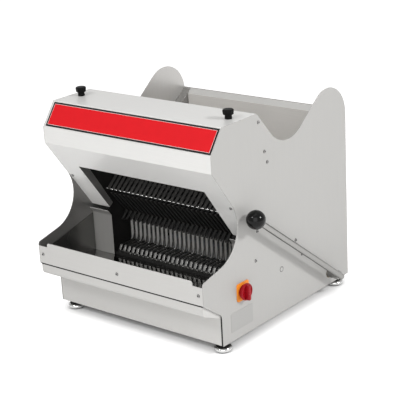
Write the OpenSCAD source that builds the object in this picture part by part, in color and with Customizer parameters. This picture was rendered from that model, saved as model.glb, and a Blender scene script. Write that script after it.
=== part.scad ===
// Table-top bread slicer: sheet-metal housing, swinging pusher on a hand lever,
// two counter-moving blade frames driven by an eccentric shaft, and a crumb drawer.
// Lengths are millimetres. +Z is up, the front faces -Y and the lever is at +X.
// While a sub-part is drawn, y = 0 is the upright front band and z = 0 the table.

/* [Housing] */
// Width over the two side panels
body_w = 570; // [540:1:620]
// Thickness of the side panels
panel_t = 2; // [1.5:0.1:3]
// Height of the base edge above the table
base_z = 26; // [22:1:30]
// Rear edge of the housing behind the front band
rear_y = 588; // [580:1:620]
// Thickness of the base plate
base_t = 2; // [1.5:0.1:3]
// Thickness of the rear panel
rear_t = 2; // [1.5:0.1:3]
// Thickness of the base front panel
front_t = 2; // [1.5:0.1:3]

/* [Side panel outline] */
// Set-back of the base front edge
toe_y = 12; // [8:1:16]
// Height of the toe corner
toe_z = 110; // [104:1:116]
// Radius of the toe corner
toe_r = 16; // [8:1:24]
// Reach of the nose in front of the band
nose_reach = 58; // [50:1:66]
// Lower corner of the nose
nose_low_z = 160; // [156:1:164]
// Radius of the lower nose corner
nose_low_r = 3; // [1:0.5:6]
// Upper corner of the nose
nose_top_z = 220; // [216:1:226]
// Radius of the upper nose corner
nose_top_r = 8; // [4:1:12]
// Depth of the mouth corner
mouth_y = 156; // [152:1:160]
// Height of the mouth corner
mouth_z = 269; // [264:1:274]
// Radius of the hollow at the mouth
mouth_r = 95; // [70:1:110]
// Height of the front band
band_h = 44; // [40:1:48]
// Height of the label slope
brow_h = 62; // [56:1:68]
// Front fold of the roof
roof_y = 46; // [40:1:54]
// Height of the roof
roof_z = 590; // [580:1:600]
// Rear edge of the roof
roof_rear_y = 187; // [180:1:194]
// Radius of the rear roof corner
roof_r = 10; // [4:1:16]
// Depth of the valley corner
valley_y = 303; // [296:1:310]
// Height of the valley corner
valley_z = 456; // [450:1:462]
// Radius of the valley
valley_r = 98; // [80:1:105]
// Height of the sharp wing corner before rounding
wing_z = 675; // [660:1:680]
// Radius of the wing corner
wing_r = 87; // [70:1:95]

/* [Cover] */
// Thickness of the cover sheet
cover_t = 1.5; // [1:0.1:2]
// Gap between the cut-out and the passage on each side
cut_margin = 4; // [2:0.5:8]
// Drop of the cut-out's upper edge below the band
cut_drop = 70; // [60:1:80]
// Depth of the flanges beside the cut-out
flange_d = 24; // [16:1:28]
// Overhang of the cover legs past the mouth corner
leg_lap = 2; // [0.5:0.5:4]
// Distance of the cover knobs from the outer side faces
knob_inset = 35; // [25:1:50]
// Depth of the cover knobs
knob_y = 118; // [105:1:130]
// Radius of the knob head
knob_r = 14.5; // [12:0.5:17]
// Radius of the knob neck
knob_neck_r = 10; // [8:0.5:11]
// Height of the knob above the roof
knob_h = 25; // [18:1:28]

/* [Label] */
// Thickness of the label backing
label_t = 0.8; // [0.5:0.1:1.2]
// Thickness of the label face
face_t = 0.4; // [0.3:0.1:0.8]
// Gap between the label and the left side panel
label_gap = 6; // [4:1:12]
// Gap between the label and the right side panel
label_right_gap = 1; // [0.5:0.5:6]
// Gap between the label and the folds
label_fold_gap = 4; // [2:0.5:8]
// Width of the label border
border_w = 5; // [2:0.5:8]

/* [Apron and out-feed tray] */
// Thickness of the apron
apron_t = 1.5; // [1:0.1:2]
// Gap between the apron and the lower nose corner
apron_gap = 1; // [0.5:0.5:3]
// Rise of the apron's middle above its ends
apron_rise = 12; // [8:1:18]
// Drop of the apron's ends below the upper nose corner
apron_drop = 10; // [6:1:14]
// Width of each lower end of the apron
apron_step = 31; // [21:1:48]
// Corner radius of the raised middle
apron_r = 7; // [3:1:10]
// Thickness of the tray floor
floor_t = 1.5; // [1:0.1:2]
// Rise of the tray floor's fold above the apron's lower edge
floor_gap = 5; // [3:0.5:9]
// Rear height of the tray floor
floor_rear_z = 123; // [122:0.5:125]
// Rear end of the tray floor
floor_rear_y = 168; // [164:1:172]
// Height of the front lip of the floor
floor_lip = 30; // [20:1:36]
// Thickness of the polished cheeks
cheek_t = 1.2; // [0.8:0.1:1.6]
// Front end of the cheeks
cheek_front_y = -48; // [-50:1:-40]
// Upper edge of the cheeks at the front
cheek_front_z = 189; // [184:1:194]
// Drop of the cheeks' rear corner below the mouth corner
cheek_drop = 29; // [24:1:36]

/* [Post guards and passage] */
// Thickness of the post guards
guard_t = 1.5; // [1:0.1:2]
// Front face of the post guards
guard_y = 157; // [156:0.5:160]
// Width of the bay behind each post guard
bay_w = 59; // [57:0.5:59.5]
// Reach of the guards past the passage's liners
guard_lap = 12; // [6:1:14]
// Drop of the guards' fold below the mouth corner
guard_drop = 26; // [22:1:33]
// Forward reach of the guard lip
guard_lip_y = 11; // [6:1:14]
// Height of the guard lip
guard_lip_z = 15; // [10:1:16]
// Thickness of the passage's side liners
liner_t = 1.5; // [1:0.1:2]
// Height of the rail in front of the bed strips
rail_h = 8; // [6:0.5:12]
// Thickness of the rail in front of the bed strips
rail_t = 4; // [3:0.5:5]

/* [Slicing] */
// Thickness of one slice
pitch = 16; // [14.5:0.1:16]
// Width of the bed strips
strip_w = 8.5; // [7:0.1:9.5]
// Depth of a blade
blade_w = 12; // [8:0.5:13]
// Thickness of a blade
blade_t = 1; // [0.6:0.1:1.4]
// Depth of the blades' plane
blade_y = 241; // [239:0.5:242]
// Distance between the two blade frames
frame_step = 12.8; // [12.8:0.1:14]
// Depth of the frame beams
beam_d = 12; // [9:0.5:12]
// Throw of the eccentrics, half the blade stroke
throw = 7; // [5:0.5:7]
// Drop of the lower beams below the bed
beam_drop = 24; // [22:0.5:25]
// Rise of the upper beams above the end of the guide
beam_rise = 42.5; // [34:0.5:46]
// Height of the beam section
beam_h = 14; // [10:1:14]
// Distance between the frame posts and the guide rods
post_gap = 23; // [20:1:25]
// Width of the frame posts
post_w = 14; // [10:1:14]
// Distance of the guide rods from the side panels
rod_gap = 25; // [21:1:27]
// Radius of the guide rods
rod_r = 6; // [5:0.5:7]
// Radius of the guide bushes
bush_out_r = 10; // [9:0.5:10.5]

/* [Bed and guides] */
// Height of the flat part of the bed
bed_z = 149; // [147:0.5:152]
// Radius of the curved bed about the lever shaft
bed_r = 270; // [266:1:274]
// Thickness of the bed sheet
bed_t = 3; // [2:0.5:4]
// Front nose of the bed strips
bed_nose_y = 184; // [180:1:188]
// Gap between the hopper bed and the inner walls
bed_side_gap = 14; // [13:1:22]
// Front nose of the upper guide strips
guide_nose_y = 150; // [146:1:152]
// Rise of the upper guide nose above the pusher spine's foot
guide_rise = 60; // [58:1:68]
// Gap between the guide strips and the hopper front wall
guide_end_gap = 4; // [3:0.5:6]
// Climb of the upper guide strips
guide_climb = 100.5; // [99.5:0.5:104]
// Thickness of the upper guide strips
guide_t = 3; // [2:0.5:4]

/* [Hopper] */
// Thickness of the hopper sheets
wall_t = 1.5; // [1:0.1:2]
// Distance of the hopper front wall behind the blades
wall_gap = 29; // [28:0.5:31]
// Height of the upright part of the hopper front wall
wall_h = 73; // [66:1:78]
// Lap of the hopper front wall over the end of the guide
guide_lap = 0.5; // [0:0.1:2]
// Distance of the hopper back plate from the rear edge
back_gap = 18; // [14:1:24]
// Height of the back plate's top strip
back_strip = 15; // [10:1:22]
// Upper edge of the back plate
back_top_z = 508; // [502:1:514]
// Distance of the inner walls behind the blades
inner_gap = 49; // [48:1:55]
// Drop of the inner walls below the back plate's upper edge
inner_drop = 1; // [1:0.5:13]
// Width of the sloping flanges beside the hopper
shelf_w = 26; // [20:1:32]

/* [Feed] */
// Gap between the bed's circle and the blades
bed_front_gap = 19; // [17:1:21]
// Height of the lever shaft
pivot_z = 60; // [58:1:62]
// Radius of the lever shaft
shaft_r = 10; // [8:0.5:10.5]
// Distance of the lever from the right side face
lever_out = 34; // [30:1:45]
// Radius of the lever tube
lever_r = 8.25; // [7:0.25:9]
// Distance of the ball knob from the shaft
lever_len = 463; // [440:1:480]
// Angle of the lever above the level, pulled forward
lever_angle = 36.9; // [34:0.1:40]
// Length of the lever tube behind the shaft
lever_tail = 15; // [12:1:20]
// Radius of the ball knob
ball_r = 25; // [20:0.5:27]
// Gap between the pusher arms and the inner walls
arm_gap = 4; // [3:0.5:4.5]
// Thickness of the pusher arms
arm_t = 7; // [5:0.5:8]
// Width of the pusher arms
arm_w = 24; // [18:1:26]
// Distance of the pusher spine behind the blades
spine_gap = 25; // [24:0.5:26]
// Depth of the pusher spine
spine_t = 16; // [12:1:16]
// Lower edge of the pusher spine
spine_low_z = 262; // [258:1:268]
// Height of the pusher spine
spine_h = 63; // [53:1:66]
// Thickness of a pusher fin
fin_t = 8; // [6:0.5:9]

/* [Drive] */
// Height of the eccentric shaft
crank_z = 68; // [67.5:0.5:69]
// Radius of the eccentric shaft
crank_r = 9; // [8:0.5:10]
// Radius of the eccentrics
cam_r = 11; // [10:0.5:11]
// Distance of the eccentrics from the middle
cam_x = 54; // [48:1:62]
// Depth of the motor shaft
motor_y = 390; // [384:1:396]
// Height of the motor shaft
motor_z = 105; // [100:1:110]
// Radius of the motor
motor_r = 65; // [58:1:68]
// Length of the motor
motor_len = 180; // [150:1:200]
// Groove radius of the eccentric shaft pulley
big_pulley_r = 30; // [28:1:31]
// Groove radius of the motor pulley
small_pulley_r = 20; // [18:1:22]
// Distance of the belt from the left inner wall
belt_gap = 32; // [26:1:38]

/* [Crumb drawer] */
// Thickness of the drawer sheet
drawer_t = 1.2; // [0.8:0.1:1.5]
// Height of the drawer walls
drawer_wall_h = 12.5; // [9:0.5:13]
// Gap between the drawer front and the lower nose corner
drawer_top_gap = 2.5; // [1.5:0.5:4]
// Gap between the drawer walls and the bed's front bar
drawer_roof_gap = 1.8; // [1.2:0.1:4]
// Gap between the drawer and the blades
drawer_rear_gap = 33; // [29:1:45]

/* [Switch and plates] */
// Side of the square switch plate
switch_w = 48; // [40:1:54]
// Depth of the switch
switch_y = 98; // [94:1:102]
// Height of the switch above the drawer walls
switch_rise = 30; // [28:0.5:32]
// Thickness of the switch plate
switch_t = 3; // [2:0.5:4]
// Radius of the switch handle
handle_r = 22.5; // [18:0.5:23.5]
// Length of the blank rating plate
plate_len = 91; // [80:1:100]
// Height of the blank rating plate
plate_h = 51; // [40:1:55]
// Thickness of the blank rating plate
plate_t = 0.5; // [0.3:0.1:0.8]

/* [Feet] */
// Radius of a foot
foot_r = 24; // [18:0.5:25]
// Height of a foot
foot_h = 20; // [16:0.5:20]
// Distance of the feet from the outer side faces
foot_inset = 25; // [23:1:45]
// Depth of the front feet
foot_front_y = 40; // [36:1:50]
// Distance of the rear feet from the rear edge
foot_rear_gap = 32; // [26:1:48]

/* [Hidden] */

// Steps on each rounded corner and on each pulley arc
arc_steps = 16;
// Steps on the curves of the repeated strips
strip_steps = 5;
$fn = 48;
// Overrun of every cut
cut = 4;
// Running gap round a turning shaft
run_gap = 0.05;
// Gap between parts that slide or turn past each other
slide_gap = 0.3;
// Gap between seated sheets
seat_gap = 0.3;

half_w = body_w / 2;
inner_w = half_w - panel_t;
base_top = base_z + base_t;
passage_half = inner_w - bay_w;
guard_half = passage_half - guard_lap;
frame_a_y = blade_y - frame_step / 2;
frame_b_y = blade_y + frame_step / 2;

// Screw heads
screw_r = 4.5;
screw_tip_share = 0.7;
screw_h = 2.2;

lever_x = half_w + lever_out;

// The frame of the finished part has its origin under the middle of its box
origin_x = (lever_x + ball_r - half_w - screw_h) / 2;
origin_y = (rear_y - nose_reach) / 2;

brow_top_z = roof_z - brow_h;
brow_low_z = brow_top_z - band_h;
panel_corners = [
    [toe_y, base_z, 0], [toe_y, toe_z, toe_r], [-nose_reach, nose_low_z, nose_low_r],
    [-nose_reach, nose_top_z, nose_top_r], [mouth_y, mouth_z, mouth_r], [0, brow_low_z, 0],
    [0, brow_top_z, 0], [roof_y, roof_z, 0], [roof_rear_y, roof_z, roof_r],
    [valley_y, valley_z, valley_r], [rear_y, wing_z, wing_r], [rear_y, base_z, 0]
];

// Lower slope of the cover
slope = (brow_low_z - mouth_z) / mouth_y;
leg_end_y = mouth_y + leg_lap;
leg_end_z = brow_low_z - slope * leg_end_y;
cut_half_w = guard_half + cut_margin;
cut_z = brow_low_z - cut_drop;
flange_end_share = 0.7;
knob_x = half_w - knob_inset;

// Base front panel and seals
front_recess = 1;
front_y = toe_y + front_recess;
front_gap = 1.5;
seal_t = 2;
seal_inset = 0.8;
seal_foot_w = 5;
gasket_inset = 0.5;
gasket_t = 2;
seal_start_y = -nose_reach + 2 * apron_t;
seal_start_z = nose_low_z - (seal_start_y + nose_reach) * (nose_low_z - toe_z) / (toe_y + nose_reach);

// Label on the slope between the band and the roof
label_dir = unit([roof_y, roof_z - brow_top_z]);
label_out = -turn(label_dir);
label_low = [0, brow_top_z] + label_dir * label_fold_gap;
label_high = [roof_y, roof_z] - label_dir * label_fold_gap;

// Apron and out-feed tray
apron_low_z = nose_low_z + apron_gap;
apron_end_z = nose_top_z - apron_drop;
apron_mid_z = apron_end_z + apron_rise;
apron_mid_half = inner_w - apron_step;
floor_front_z = apron_low_z + floor_gap;
floor_front_y = -nose_reach + apron_t;
floor_fall = (floor_front_z - floor_rear_z) / (floor_rear_y - floor_front_y);
floor_rise = floor_t * norm([1, floor_fall]);
floor_bend_r = 3;
cheek_rear_y = guard_y - seat_gap;
cheek_rear_z = mouth_z - cheek_drop;
guard_top_z = mouth_z - guard_drop;
guard_low_z = floor_top(guard_y) + seat_gap;

// The strips and fins fill the width between the pusher arms; blades stand in the gaps between them
arm_x = passage_half - arm_gap - arm_t;
strip_last = floor((arm_x - fin_t / 2) / pitch);
strips_x = [for (i = [-strip_last:strip_last]) i * pitch];
blades_even_x = [for (i = [-strip_last:2:strip_last + 1]) (i - 0.5) * pitch];
blades_odd_x = [for (i = [-strip_last + 1:2:strip_last + 1]) (i - 0.5) * pitch];

// Pusher spine, upper guide and hopper front wall
spine_y = blade_y + spine_gap;
spine_top_z = spine_low_z + spine_h;
wall_y = blade_y + wall_gap;
guide_nose_z = spine_low_z + guide_rise;
guide_end_y = wall_y - guide_end_gap;
guide_end_z = guide_nose_z + guide_climb;
wall_low_z = guide_end_z - guide_lap;
wall_fold_z = wall_low_z + wall_h;

// Blade frames
lower_beam_z = bed_z - beam_drop;
upper_beam_z = guide_end_z + beam_rise;
rod_x_at = inner_w - rod_gap;
post_x = rod_x_at - post_gap;
beam_low_top = lower_beam_z + beam_h / 2;
beam_low_foot = lower_beam_z - beam_h / 2;
beam_high_foot = upper_beam_z - beam_h / 2;
beam_half = post_x - post_w / 2;
post_out = post_x + post_w / 2;
rod_shift = 6;
blade_tab_gap = 4;
blade_tab_h = 2 * throw + blade_tab_gap;
bush_h = 24;
bush_low_rise = 18;
bush_high_drop = 34;
bush_low_z = beam_low_top + bush_low_rise;
bush_high_z = beam_high_foot - bush_high_drop;
ear_w = 12;
bracket_gap = 5;
bracket_z = upper_beam_z + beam_h / 2 + throw + bracket_gap;
bracket_t = 6;
bracket_in = rod_x_at - 2 * rod_r;
bracket_margin = 4;

// Side liners of the passage: clear of the moving beams, starting behind the cover's flanges
liner_gap = 3;
guide_bar_w = 8;
liner_low_z = beam_low_top + throw + liner_gap;
liner_top_z = beam_high_foot - throw - 2 * liner_gap;
liner_step_y = frame_a_y - beam_d / 2 - liner_gap;
liner_front_y = guard_y + guard_t;
liner_rear_y = wall_y - wall_t - guide_bar_w - seat_gap;
liner_lead_share = 0.6;
liner_lead = flange_d * liner_lead_share * norm([1, slope]) / slope;
rail_y = floor_rear_y - seat_gap - rail_t;

// Bed strips: foot, nose, flat and a curve about the lever shaft
pivot_y = blade_y - bed_front_gap + bed_r;
pivot = [pivot_y, pivot_z];
bed_foot_gap = 1;
bed_nose_r = 6;
bed_angle = asin((bed_z - pivot_z) / bed_r);
bed_flat_y = pivot_y - bed_r * cos(bed_angle);
bed_bar_gap = 30.4;
bed_bar_y = blade_y + bed_bar_gap;
bed_joint_angle = acos((pivot_y - bed_bar_y) / bed_r);
bed_half = passage_half - bed_side_gap;
bed_bar_angle = 1.2;
bed_bar_depth = 12;
bed_joint_gap = 0.1;
front_bar_w = 12;
front_bar_t = 3.2;
front_bar_low_z = floor_rear_z - front_bar_t;
guide_lip_y = 7;
guide_lip_z = 5;
guide_lip_r = 4;
guide_bar_low = 2.5;
guide_bar_h = 14;

// Hopper
wall_lap = 12;
back_y = rear_y - back_gap;
back_fold_z = back_top_z - back_strip;
inner_front_y = blade_y + inner_gap;
inner_top_z = back_top_z - inner_drop;
inner_fall_share = 0.727;
wall_rear_gap = 2;
inner_rear_y = rear_y - rear_t - wall_rear_gap;
inner_rear_z = inner_top_z - inner_fall_share * wall_rear_gap;
inner_front_z = inner_rear_z - inner_fall_share * (inner_rear_y - inner_front_y);
ledge_rear_y = back_y - wall_rear_gap;
hopper_half = inner_w - shelf_w;
ledge_drop = 25;
ledge_rise = 15;
shaft_hole_gap = 2;
shaft_hole_r = shaft_r + shaft_hole_gap;

// Lever shaft, bushes and boss
bush_wall = 4;
shaft_bush_r = shaft_r + bush_wall;
bush_flange_w = 4;
bush_flange_r = shaft_bush_r + bush_flange_w;
bush_flange_t = 8;
boss_r = 12;
boss_gap = 1.5;
shaft_end_gap = 1;
ball_grip = 10;
hub_wall = 8;
hub_r = shaft_r + hub_wall;

// Pusher fins: tips and notch, as places in front of and above the spine's lower front edge
fin_upper_reach = 109;
fin_upper_rise = 49;
fin_notch_reach = 51;
fin_notch_drop = 20;
fin_lower_reach = 72;
fin_lower_drop = 40;

// Eccentric straps: wide enough for the turning eccentric at both ends of the stroke
strap_gap = 0.5;
strap_in_r = cam_r + 2 * throw + strap_gap;
strap_wall = 5;
strap_w = 12;
cam_w = 16;
stem_w = 12;
bearing_x = 100;
bearing_w = 20;
crank_end_gap = 4;
crank_end_x = bearing_x + bearing_w / 2 + crank_end_gap;
bearing_half = 20;

// Pulleys and belt
belt_w = 8;
belt_h = 4;
groove_gap = 0.3;
groove_side_gap = 0.5;
groove_w = belt_w + 2 * groove_side_gap;
belt_x = belt_gap - passage_half;
rim_w = 2.5;
rim_h = 4.5;
hub_gap = 4;
motor_gap = 24;
motor_end_x = belt_x + groove_w / 2 + rim_w + motor_gap;
motor_shaft_in = 30;
motor_bell_t = 22;
motor_bell_share = 0.9;
motor_foot_half = 50;
motor_foot_inset = 30;
motor_box_half = 26;
motor_box_h = 18;

// Crumb drawer
drawer_side_gap = 3;
drawer_half = inner_w - drawer_side_gap;
drawer_front_y = -nose_reach + apron_t;
drawer_top_z = nose_low_z - drawer_top_gap;
drawer_wall_z = front_bar_low_z - drawer_roof_gap;
drawer_z = drawer_wall_z - drawer_wall_h;
drawer_rear_y = blade_y - drawer_rear_gap;
drawer_bend_drop = 25.5;
drawer_bend_z = drawer_top_z - drawer_bend_drop;
drawer_bend_r = 14;
drawer_heel_y = 4;
drawer_heel_r = 12;
drawer_taper_y = 20;
drawer_corner_r = 2;
runner_w = 7;
runner_t = 2;
runner_gap = 0.3;

// Switch
switch_z = drawer_wall_z + switch_rise;
switch_hole_r = 9;
switch_stem_r = 4;
switch_gap = 0.2;
handle_t = 10;
grip_w = 11;
grip_h = 12;
body_half = 20;
body_d = 28;
box_wall = 1.2;
box_margin = 10;
box_d = 47;
box_low_gap = 3;
box_low_z = drawer_wall_z + box_low_gap;
box_rise = 28;
box_top_z = switch_z + box_rise;
plate_y = 91.5;
plate_z = 75.5;
plug_y = 268.5;
plug_z = 148;
plug_r = 8;
plug_t = 1.5;

// Screws on the side panels, the apron, the cover legs and the rear panel
// The side screws' shares are of the housing's depth behind the band and of its roof height
side_screw_shares = [
    [0.3265, 0.961], [0.3622, 0.8237], [0.3793, 0.7729], [0.2891, 0.4847], [0.2704, 0.3542],
    [0.5731, 0.3525], [0.619, 0.2695]
];
apron_screw_inset = 13;
apron_screw_x = inner_w - apron_screw_inset;
apron_screw_rise = 26;
apron_screw_z = apron_low_z + apron_screw_rise;
leg_screw_inset = 10;
leg_screw_x = inner_w - leg_screw_inset;
leg_screw_share = 0.523;
leg_screw_y = mouth_y * leg_screw_share;
rear_screw_inset = 21;
rear_screw_x = inner_w - rear_screw_inset;
rear_screw_shares = [0.12, 0.53, 0.945];

// Feet and cable gland
foot_x = half_w - foot_inset;
foot_rear_y = rear_y - foot_rear_gap;
stud_r = 5;
nut_r = 9;
nut_h = 6;
foot_waist_share = 0.72;
foot_rim_share = 0.45;
gland_r = 8;
gland_nut_r = 12;
gland_wall_gap = 8;
gland_x = gland_nut_r + gland_wall_gap - passage_half;
gland_rear_gap = 48;
gland_y = rear_y - gland_rear_gap;
gland_nut_h = 7;
knob_stud_r = 4;
knob_stud_len = 14;
knob_neck_share = 0.42;
knob_seat = 0.2;

function unit(v) = v / norm(v);
// The direction to the right of a direction
function turn(v) = [v[1], -v[0]];
function flat(c) = [c[0], c[1]];
// Points of the arc that rounds corner b between a and c
function corner(a, b, c, r, steps = arc_steps) =
    r <= 0 ? [flat(b)] :
    let (
        u = unit(flat(a) - flat(b)),
        v = unit(flat(c) - flat(b)),
        half = acos(u * v) / 2,
        mid = flat(b) + unit(u + v) * r / sin(half),
        s = flat(b) + u * r / tan(half) - mid,
        e = flat(b) + v * r / tan(half) - mid,
        start = atan2(s[1], s[0]),
        swing = atan2(s[0] * e[1] - s[1] * e[0], s * e)
    )
    [for (i = [0:steps]) mid + polar(r, start + swing * i / steps)];
function polar(r, angle) = r * [cos(angle), sin(angle)];
function closed_path(c) =
    let (n = len(c))
    [for (i = [0:n - 1]) each corner(c[(i + n - 1) % n], c[i], c[(i + 1) % n], c[i][2])];
function open_path(c, steps = arc_steps) =
    let (n = len(c))
    [
        for (i = [0:n - 1]) each
            i == 0 || i == n - 1 ? [flat(c[i])] : corner(c[i - 1], c[i], c[i + 1], c[i][2], steps)
    ];
// The point a distance t to the right of vertex i of an open path
function beside(p, i, t) =
    let (
        last = len(p) - 1,
        before = turn(unit(p[max(i, 1)] - p[max(i - 1, 0)])),
        after = turn(unit(p[min(i + 1, last)] - p[min(i, last - 1)]))
    )
    p[i] + (before + after) * t / (1 + before * after);
// A folded sheet: the path and its copy a distance t to the right
function sheet(p, t) = concat(p, [for (i = [len(p) - 1:-1:0]) beside(p, i, t)]);
// Points on a circle about the lever shaft, by the angle above the level towards the front
function about_shaft(r, a0, a1, steps = arc_steps) =
    [for (i = [0:steps]) let (a = a0 + (a1 - a0) * i / steps) pivot + r * [-cos(a), sin(a)]];
// Loop round two circles
function belt_loop(c0, r0, c1, r1) =
    let (
        d = c1 - c0,
        aim = atan2(d[1], d[0]),
        lean = acos((r0 - r1) / norm(d))
    )
    concat(
        [for (i = [0:arc_steps]) c0 + polar(r0, aim + lean + (360 - 2 * lean) * i / arc_steps)],
        [for (i = [0:arc_steps]) c1 + polar(r1, aim - lean + 2 * lean * i / arc_steps)]
    );
// Depth of the cover's lower slope at a height
function slope_y(z) = (brow_low_z - z) / slope;
function floor_top(y) = floor_front_z - floor_fall * (y - floor_front_y) + floor_rise;

module place() {
    translate([-origin_x, -origin_y, 0]) children();
}
module block(low, high) {
    translate(low) cube(high - low);
}
// An outline in depth and height, drawn out across the machine
module across(points, x0, x1) {
    translate([x0, 0, 0]) rotate([90, 0, 90]) linear_extrude(x1 - x0) polygon(points);
}
// An outline in width and height, drawn out to the rear
module rearwards(points, y0, t) {
    translate([0, y0 + t, 0]) rotate([90, 0, 0]) linear_extrude(t) polygon(points);
}
module bar_x(y, z, r, x0, x1) {
    translate([x0, y, z]) rotate([0, 90, 0]) cylinder(r = r, h = x1 - x0);
}
module both_sides() {
    children();
    mirror([1, 0, 0]) children();
}
module screw_head() {
    cylinder(r1 = screw_r, r2 = screw_r * screw_tip_share, h = screw_h, $fn = 24);
}
module at_feet() {
    for (x = [-foot_x, foot_x], y = [foot_front_y, foot_rear_y]) translate([x, y, 0]) children();
}
// The line of the lever, with its start at the shaft
module along_lever() {
    translate([lever_x, pivot_y, pivot_z]) rotate([90 - lever_angle, 0, 0]) children();
}
module lever_rod(r) {
    along_lever() translate([0, 0, -lever_tail]) cylinder(r = r, h = lever_tail + lever_len + ball_grip);
}

module panel_sheet(x0) {
    across(closed_path(panel_corners), x0, x0 + panel_t);
}
module left_side_panel() {
    place() color("gainsboro") panel_sheet(-half_w);
}
module right_side_panel() {
    place() color("gainsboro") difference() {
        panel_sheet(inner_w);
        bar_x(pivot_y, pivot_z, shaft_bush_r, inner_w - cut, half_w + cut);
        bar_x(switch_y, switch_z, switch_hole_r, inner_w - cut, half_w + cut);
    }
}
module base_plate() {
    place() color("silver") difference() {
        block([-inner_w, front_y + front_t, base_z], [inner_w, rear_y - rear_t, base_top]);
        at_feet() translate([0, 0, base_z - cut]) cylinder(r = stud_r, h = base_t + 2 * cut);
        translate([gland_x, gland_y, base_z - cut]) cylinder(r = gland_r, h = base_t + 2 * cut);
    }
}
module base_front_panel() {
    place() color("gainsboro")
        block(
            [-inner_w, front_y, base_z],
            [inner_w - seal_foot_w, front_y + front_t, drawer_z - front_gap]
        );
}
module rear_panel() {
    place() color("gainsboro") block([-inner_w, rear_y - rear_t, base_z], [inner_w, rear_y, back_top_z]);
}
module top_cover() {
    cover_path = [
        [leg_end_y, leg_end_z, 0], [0, brow_low_z, 0], [0, brow_top_z, 0], [roof_y, roof_z, 0],
        [roof_rear_y, roof_z, 0]
    ];
    inwards = unit([slope, 1]) * flange_d;
    flange_top = [slope_y(cut_z), cut_z];
    flange_end = [leg_end_y, leg_end_z];
    flange = [flange_top, flange_end, flange_end + inwards * flange_end_share, flange_top + inwards];
    place() color("gainsboro") {
        difference() {
            across(sheet(open_path(cover_path), cover_t), -inner_w, inner_w);
            block([-cut_half_w, -cut, nose_top_z], [cut_half_w, leg_end_y + mouth_r, cut_z]);
            both_sides() translate([knob_x, knob_y, roof_z - cover_t - cut])
                cylinder(r = knob_stud_r + slide_gap, h = cover_t + 2 * cut);
        }
        both_sides() across(flange, cut_half_w, cut_half_w + cover_t);
    }
}
module label_backing() {
    place() color("black")
        across(sheet([label_low, label_high], -label_t), label_gap - inner_w, inner_w - label_right_gap);
}
module label_face() {
    lift = label_out * label_t;
    low = label_low + label_dir * border_w + lift;
    high = label_high - label_dir * border_w + lift;
    place() color("red") across(
        sheet([low, high], -face_t),
        label_gap + border_w - inner_w, inner_w - label_right_gap - border_w
    );
}
module apron() {
    outline = [
        [-inner_w, apron_low_z, 0], [inner_w, apron_low_z, 0], [inner_w, apron_end_z, 0],
        [apron_mid_half, apron_end_z, 0], [apron_mid_half, apron_mid_z, apron_r],
        [-apron_mid_half, apron_mid_z, apron_r], [-apron_mid_half, apron_end_z, 0],
        [-inner_w, apron_end_z, 0]
    ];
    place() color("gainsboro") rearwards(closed_path(outline), -nose_reach, apron_t);
}
module switch_box_space(x1) {
    block(
        [inner_w - box_d, switch_y - body_half - box_margin, box_low_z],
        [x1, switch_y + body_half + box_margin, box_top_z]
    );
}
module outfeed_floor() {
    path = [
        [floor_front_y, floor_front_z + floor_lip, 0], [floor_front_y, floor_front_z, floor_bend_r],
        [floor_rear_y, floor_rear_z, 0]
    ];
    place() color("lightgray") difference() {
        across(sheet(open_path(path), -floor_t), -inner_w, inner_w);
        switch_box_space(inner_w + cut);
    }
}
module outfeed_cheeks() {
    outline = [
        [cheek_front_y, floor_top(cheek_front_y)], [cheek_rear_y, floor_top(cheek_rear_y)],
        [cheek_rear_y, cheek_rear_z], [cheek_front_y, cheek_front_z]
    ];
    place() color("silver") {
        across(outline, -inner_w, -inner_w + cheek_t);
        difference() {
            across(outline, inner_w - cheek_t, inner_w);
            switch_box_space(inner_w + cut);
        }
    }
}
module post_guard() {
    path = [
        [guard_y, guard_low_z], [guard_y, guard_top_z],
        [guard_y - guard_lip_y, guard_top_z + guard_lip_z]
    ];
    across(sheet(path, guard_t), guard_half, inner_w);
}
module right_post_guard() {
    place() color("lightgray") post_guard();
}
module left_post_guard() {
    place() color("lightgray") mirror([1, 0, 0]) post_guard();
}
// Black liners beside the passage and a rail across its foot
module passage_liner() {
    outline = [
        [liner_front_y, guard_low_z], [liner_step_y, guard_low_z], [liner_step_y, liner_low_z],
        [liner_rear_y, liner_low_z], [liner_rear_y, liner_top_z],
        [slope_y(liner_top_z) + liner_lead, liner_top_z],
        [liner_front_y, brow_low_z - (liner_front_y - liner_lead) * slope]
    ];
    rail = [
        [rail_y, floor_top(rail_y) + seat_gap], [rail_y + rail_t, floor_top(rail_y + rail_t) + seat_gap],
        [rail_y + rail_t, guard_low_z + rail_h], [rail_y, guard_low_z + rail_h]
    ];
    place() color("black") {
        both_sides() across(outline, passage_half, passage_half + liner_t);
        across(rail, -passage_half - liner_t, passage_half + liner_t);
    }
}
module bed_comb() {
    foot = [floor_rear_y + bed_foot_gap, floor_rear_z];
    path = concat(
        open_path([foot, [bed_nose_y, bed_z, bed_nose_r], [bed_flat_y, bed_z]], strip_steps),
        about_shaft(bed_r, bed_angle + bed_joint_gap, bed_joint_angle, strip_steps)
    );
    low_r = bed_r - bed_t - bed_bar_depth;
    high_r = bed_r - bed_t;
    bar_start = bed_joint_angle - bed_bar_angle;
    bar_end = bed_joint_angle + bed_bar_angle;
    place() color("lightgray") {
        for (x = strips_x) across(sheet(path, bed_t), x - strip_w / 2, x + strip_w / 2);
        block(
            [-inner_w, foot[0] - bed_foot_gap, front_bar_low_z],
            [inner_w, foot[0] + front_bar_w, floor_rear_z]
        );
        across(
            concat(
                about_shaft(low_r, bar_start, bar_end, strip_steps),
                about_shaft(high_r - seat_gap, bar_end, bed_joint_angle, strip_steps),
                about_shaft(high_r, bed_joint_angle, bar_start, strip_steps)
            ),
            -inner_w, inner_w
        );
    }
}
module hopper_bed() {
    path = concat(about_shaft(bed_r, bed_joint_angle + bed_joint_gap, 90), [[back_y, pivot_z + bed_r]]);
    place() color("silver") across(sheet(path, bed_t), -bed_half, bed_half);
}
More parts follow.
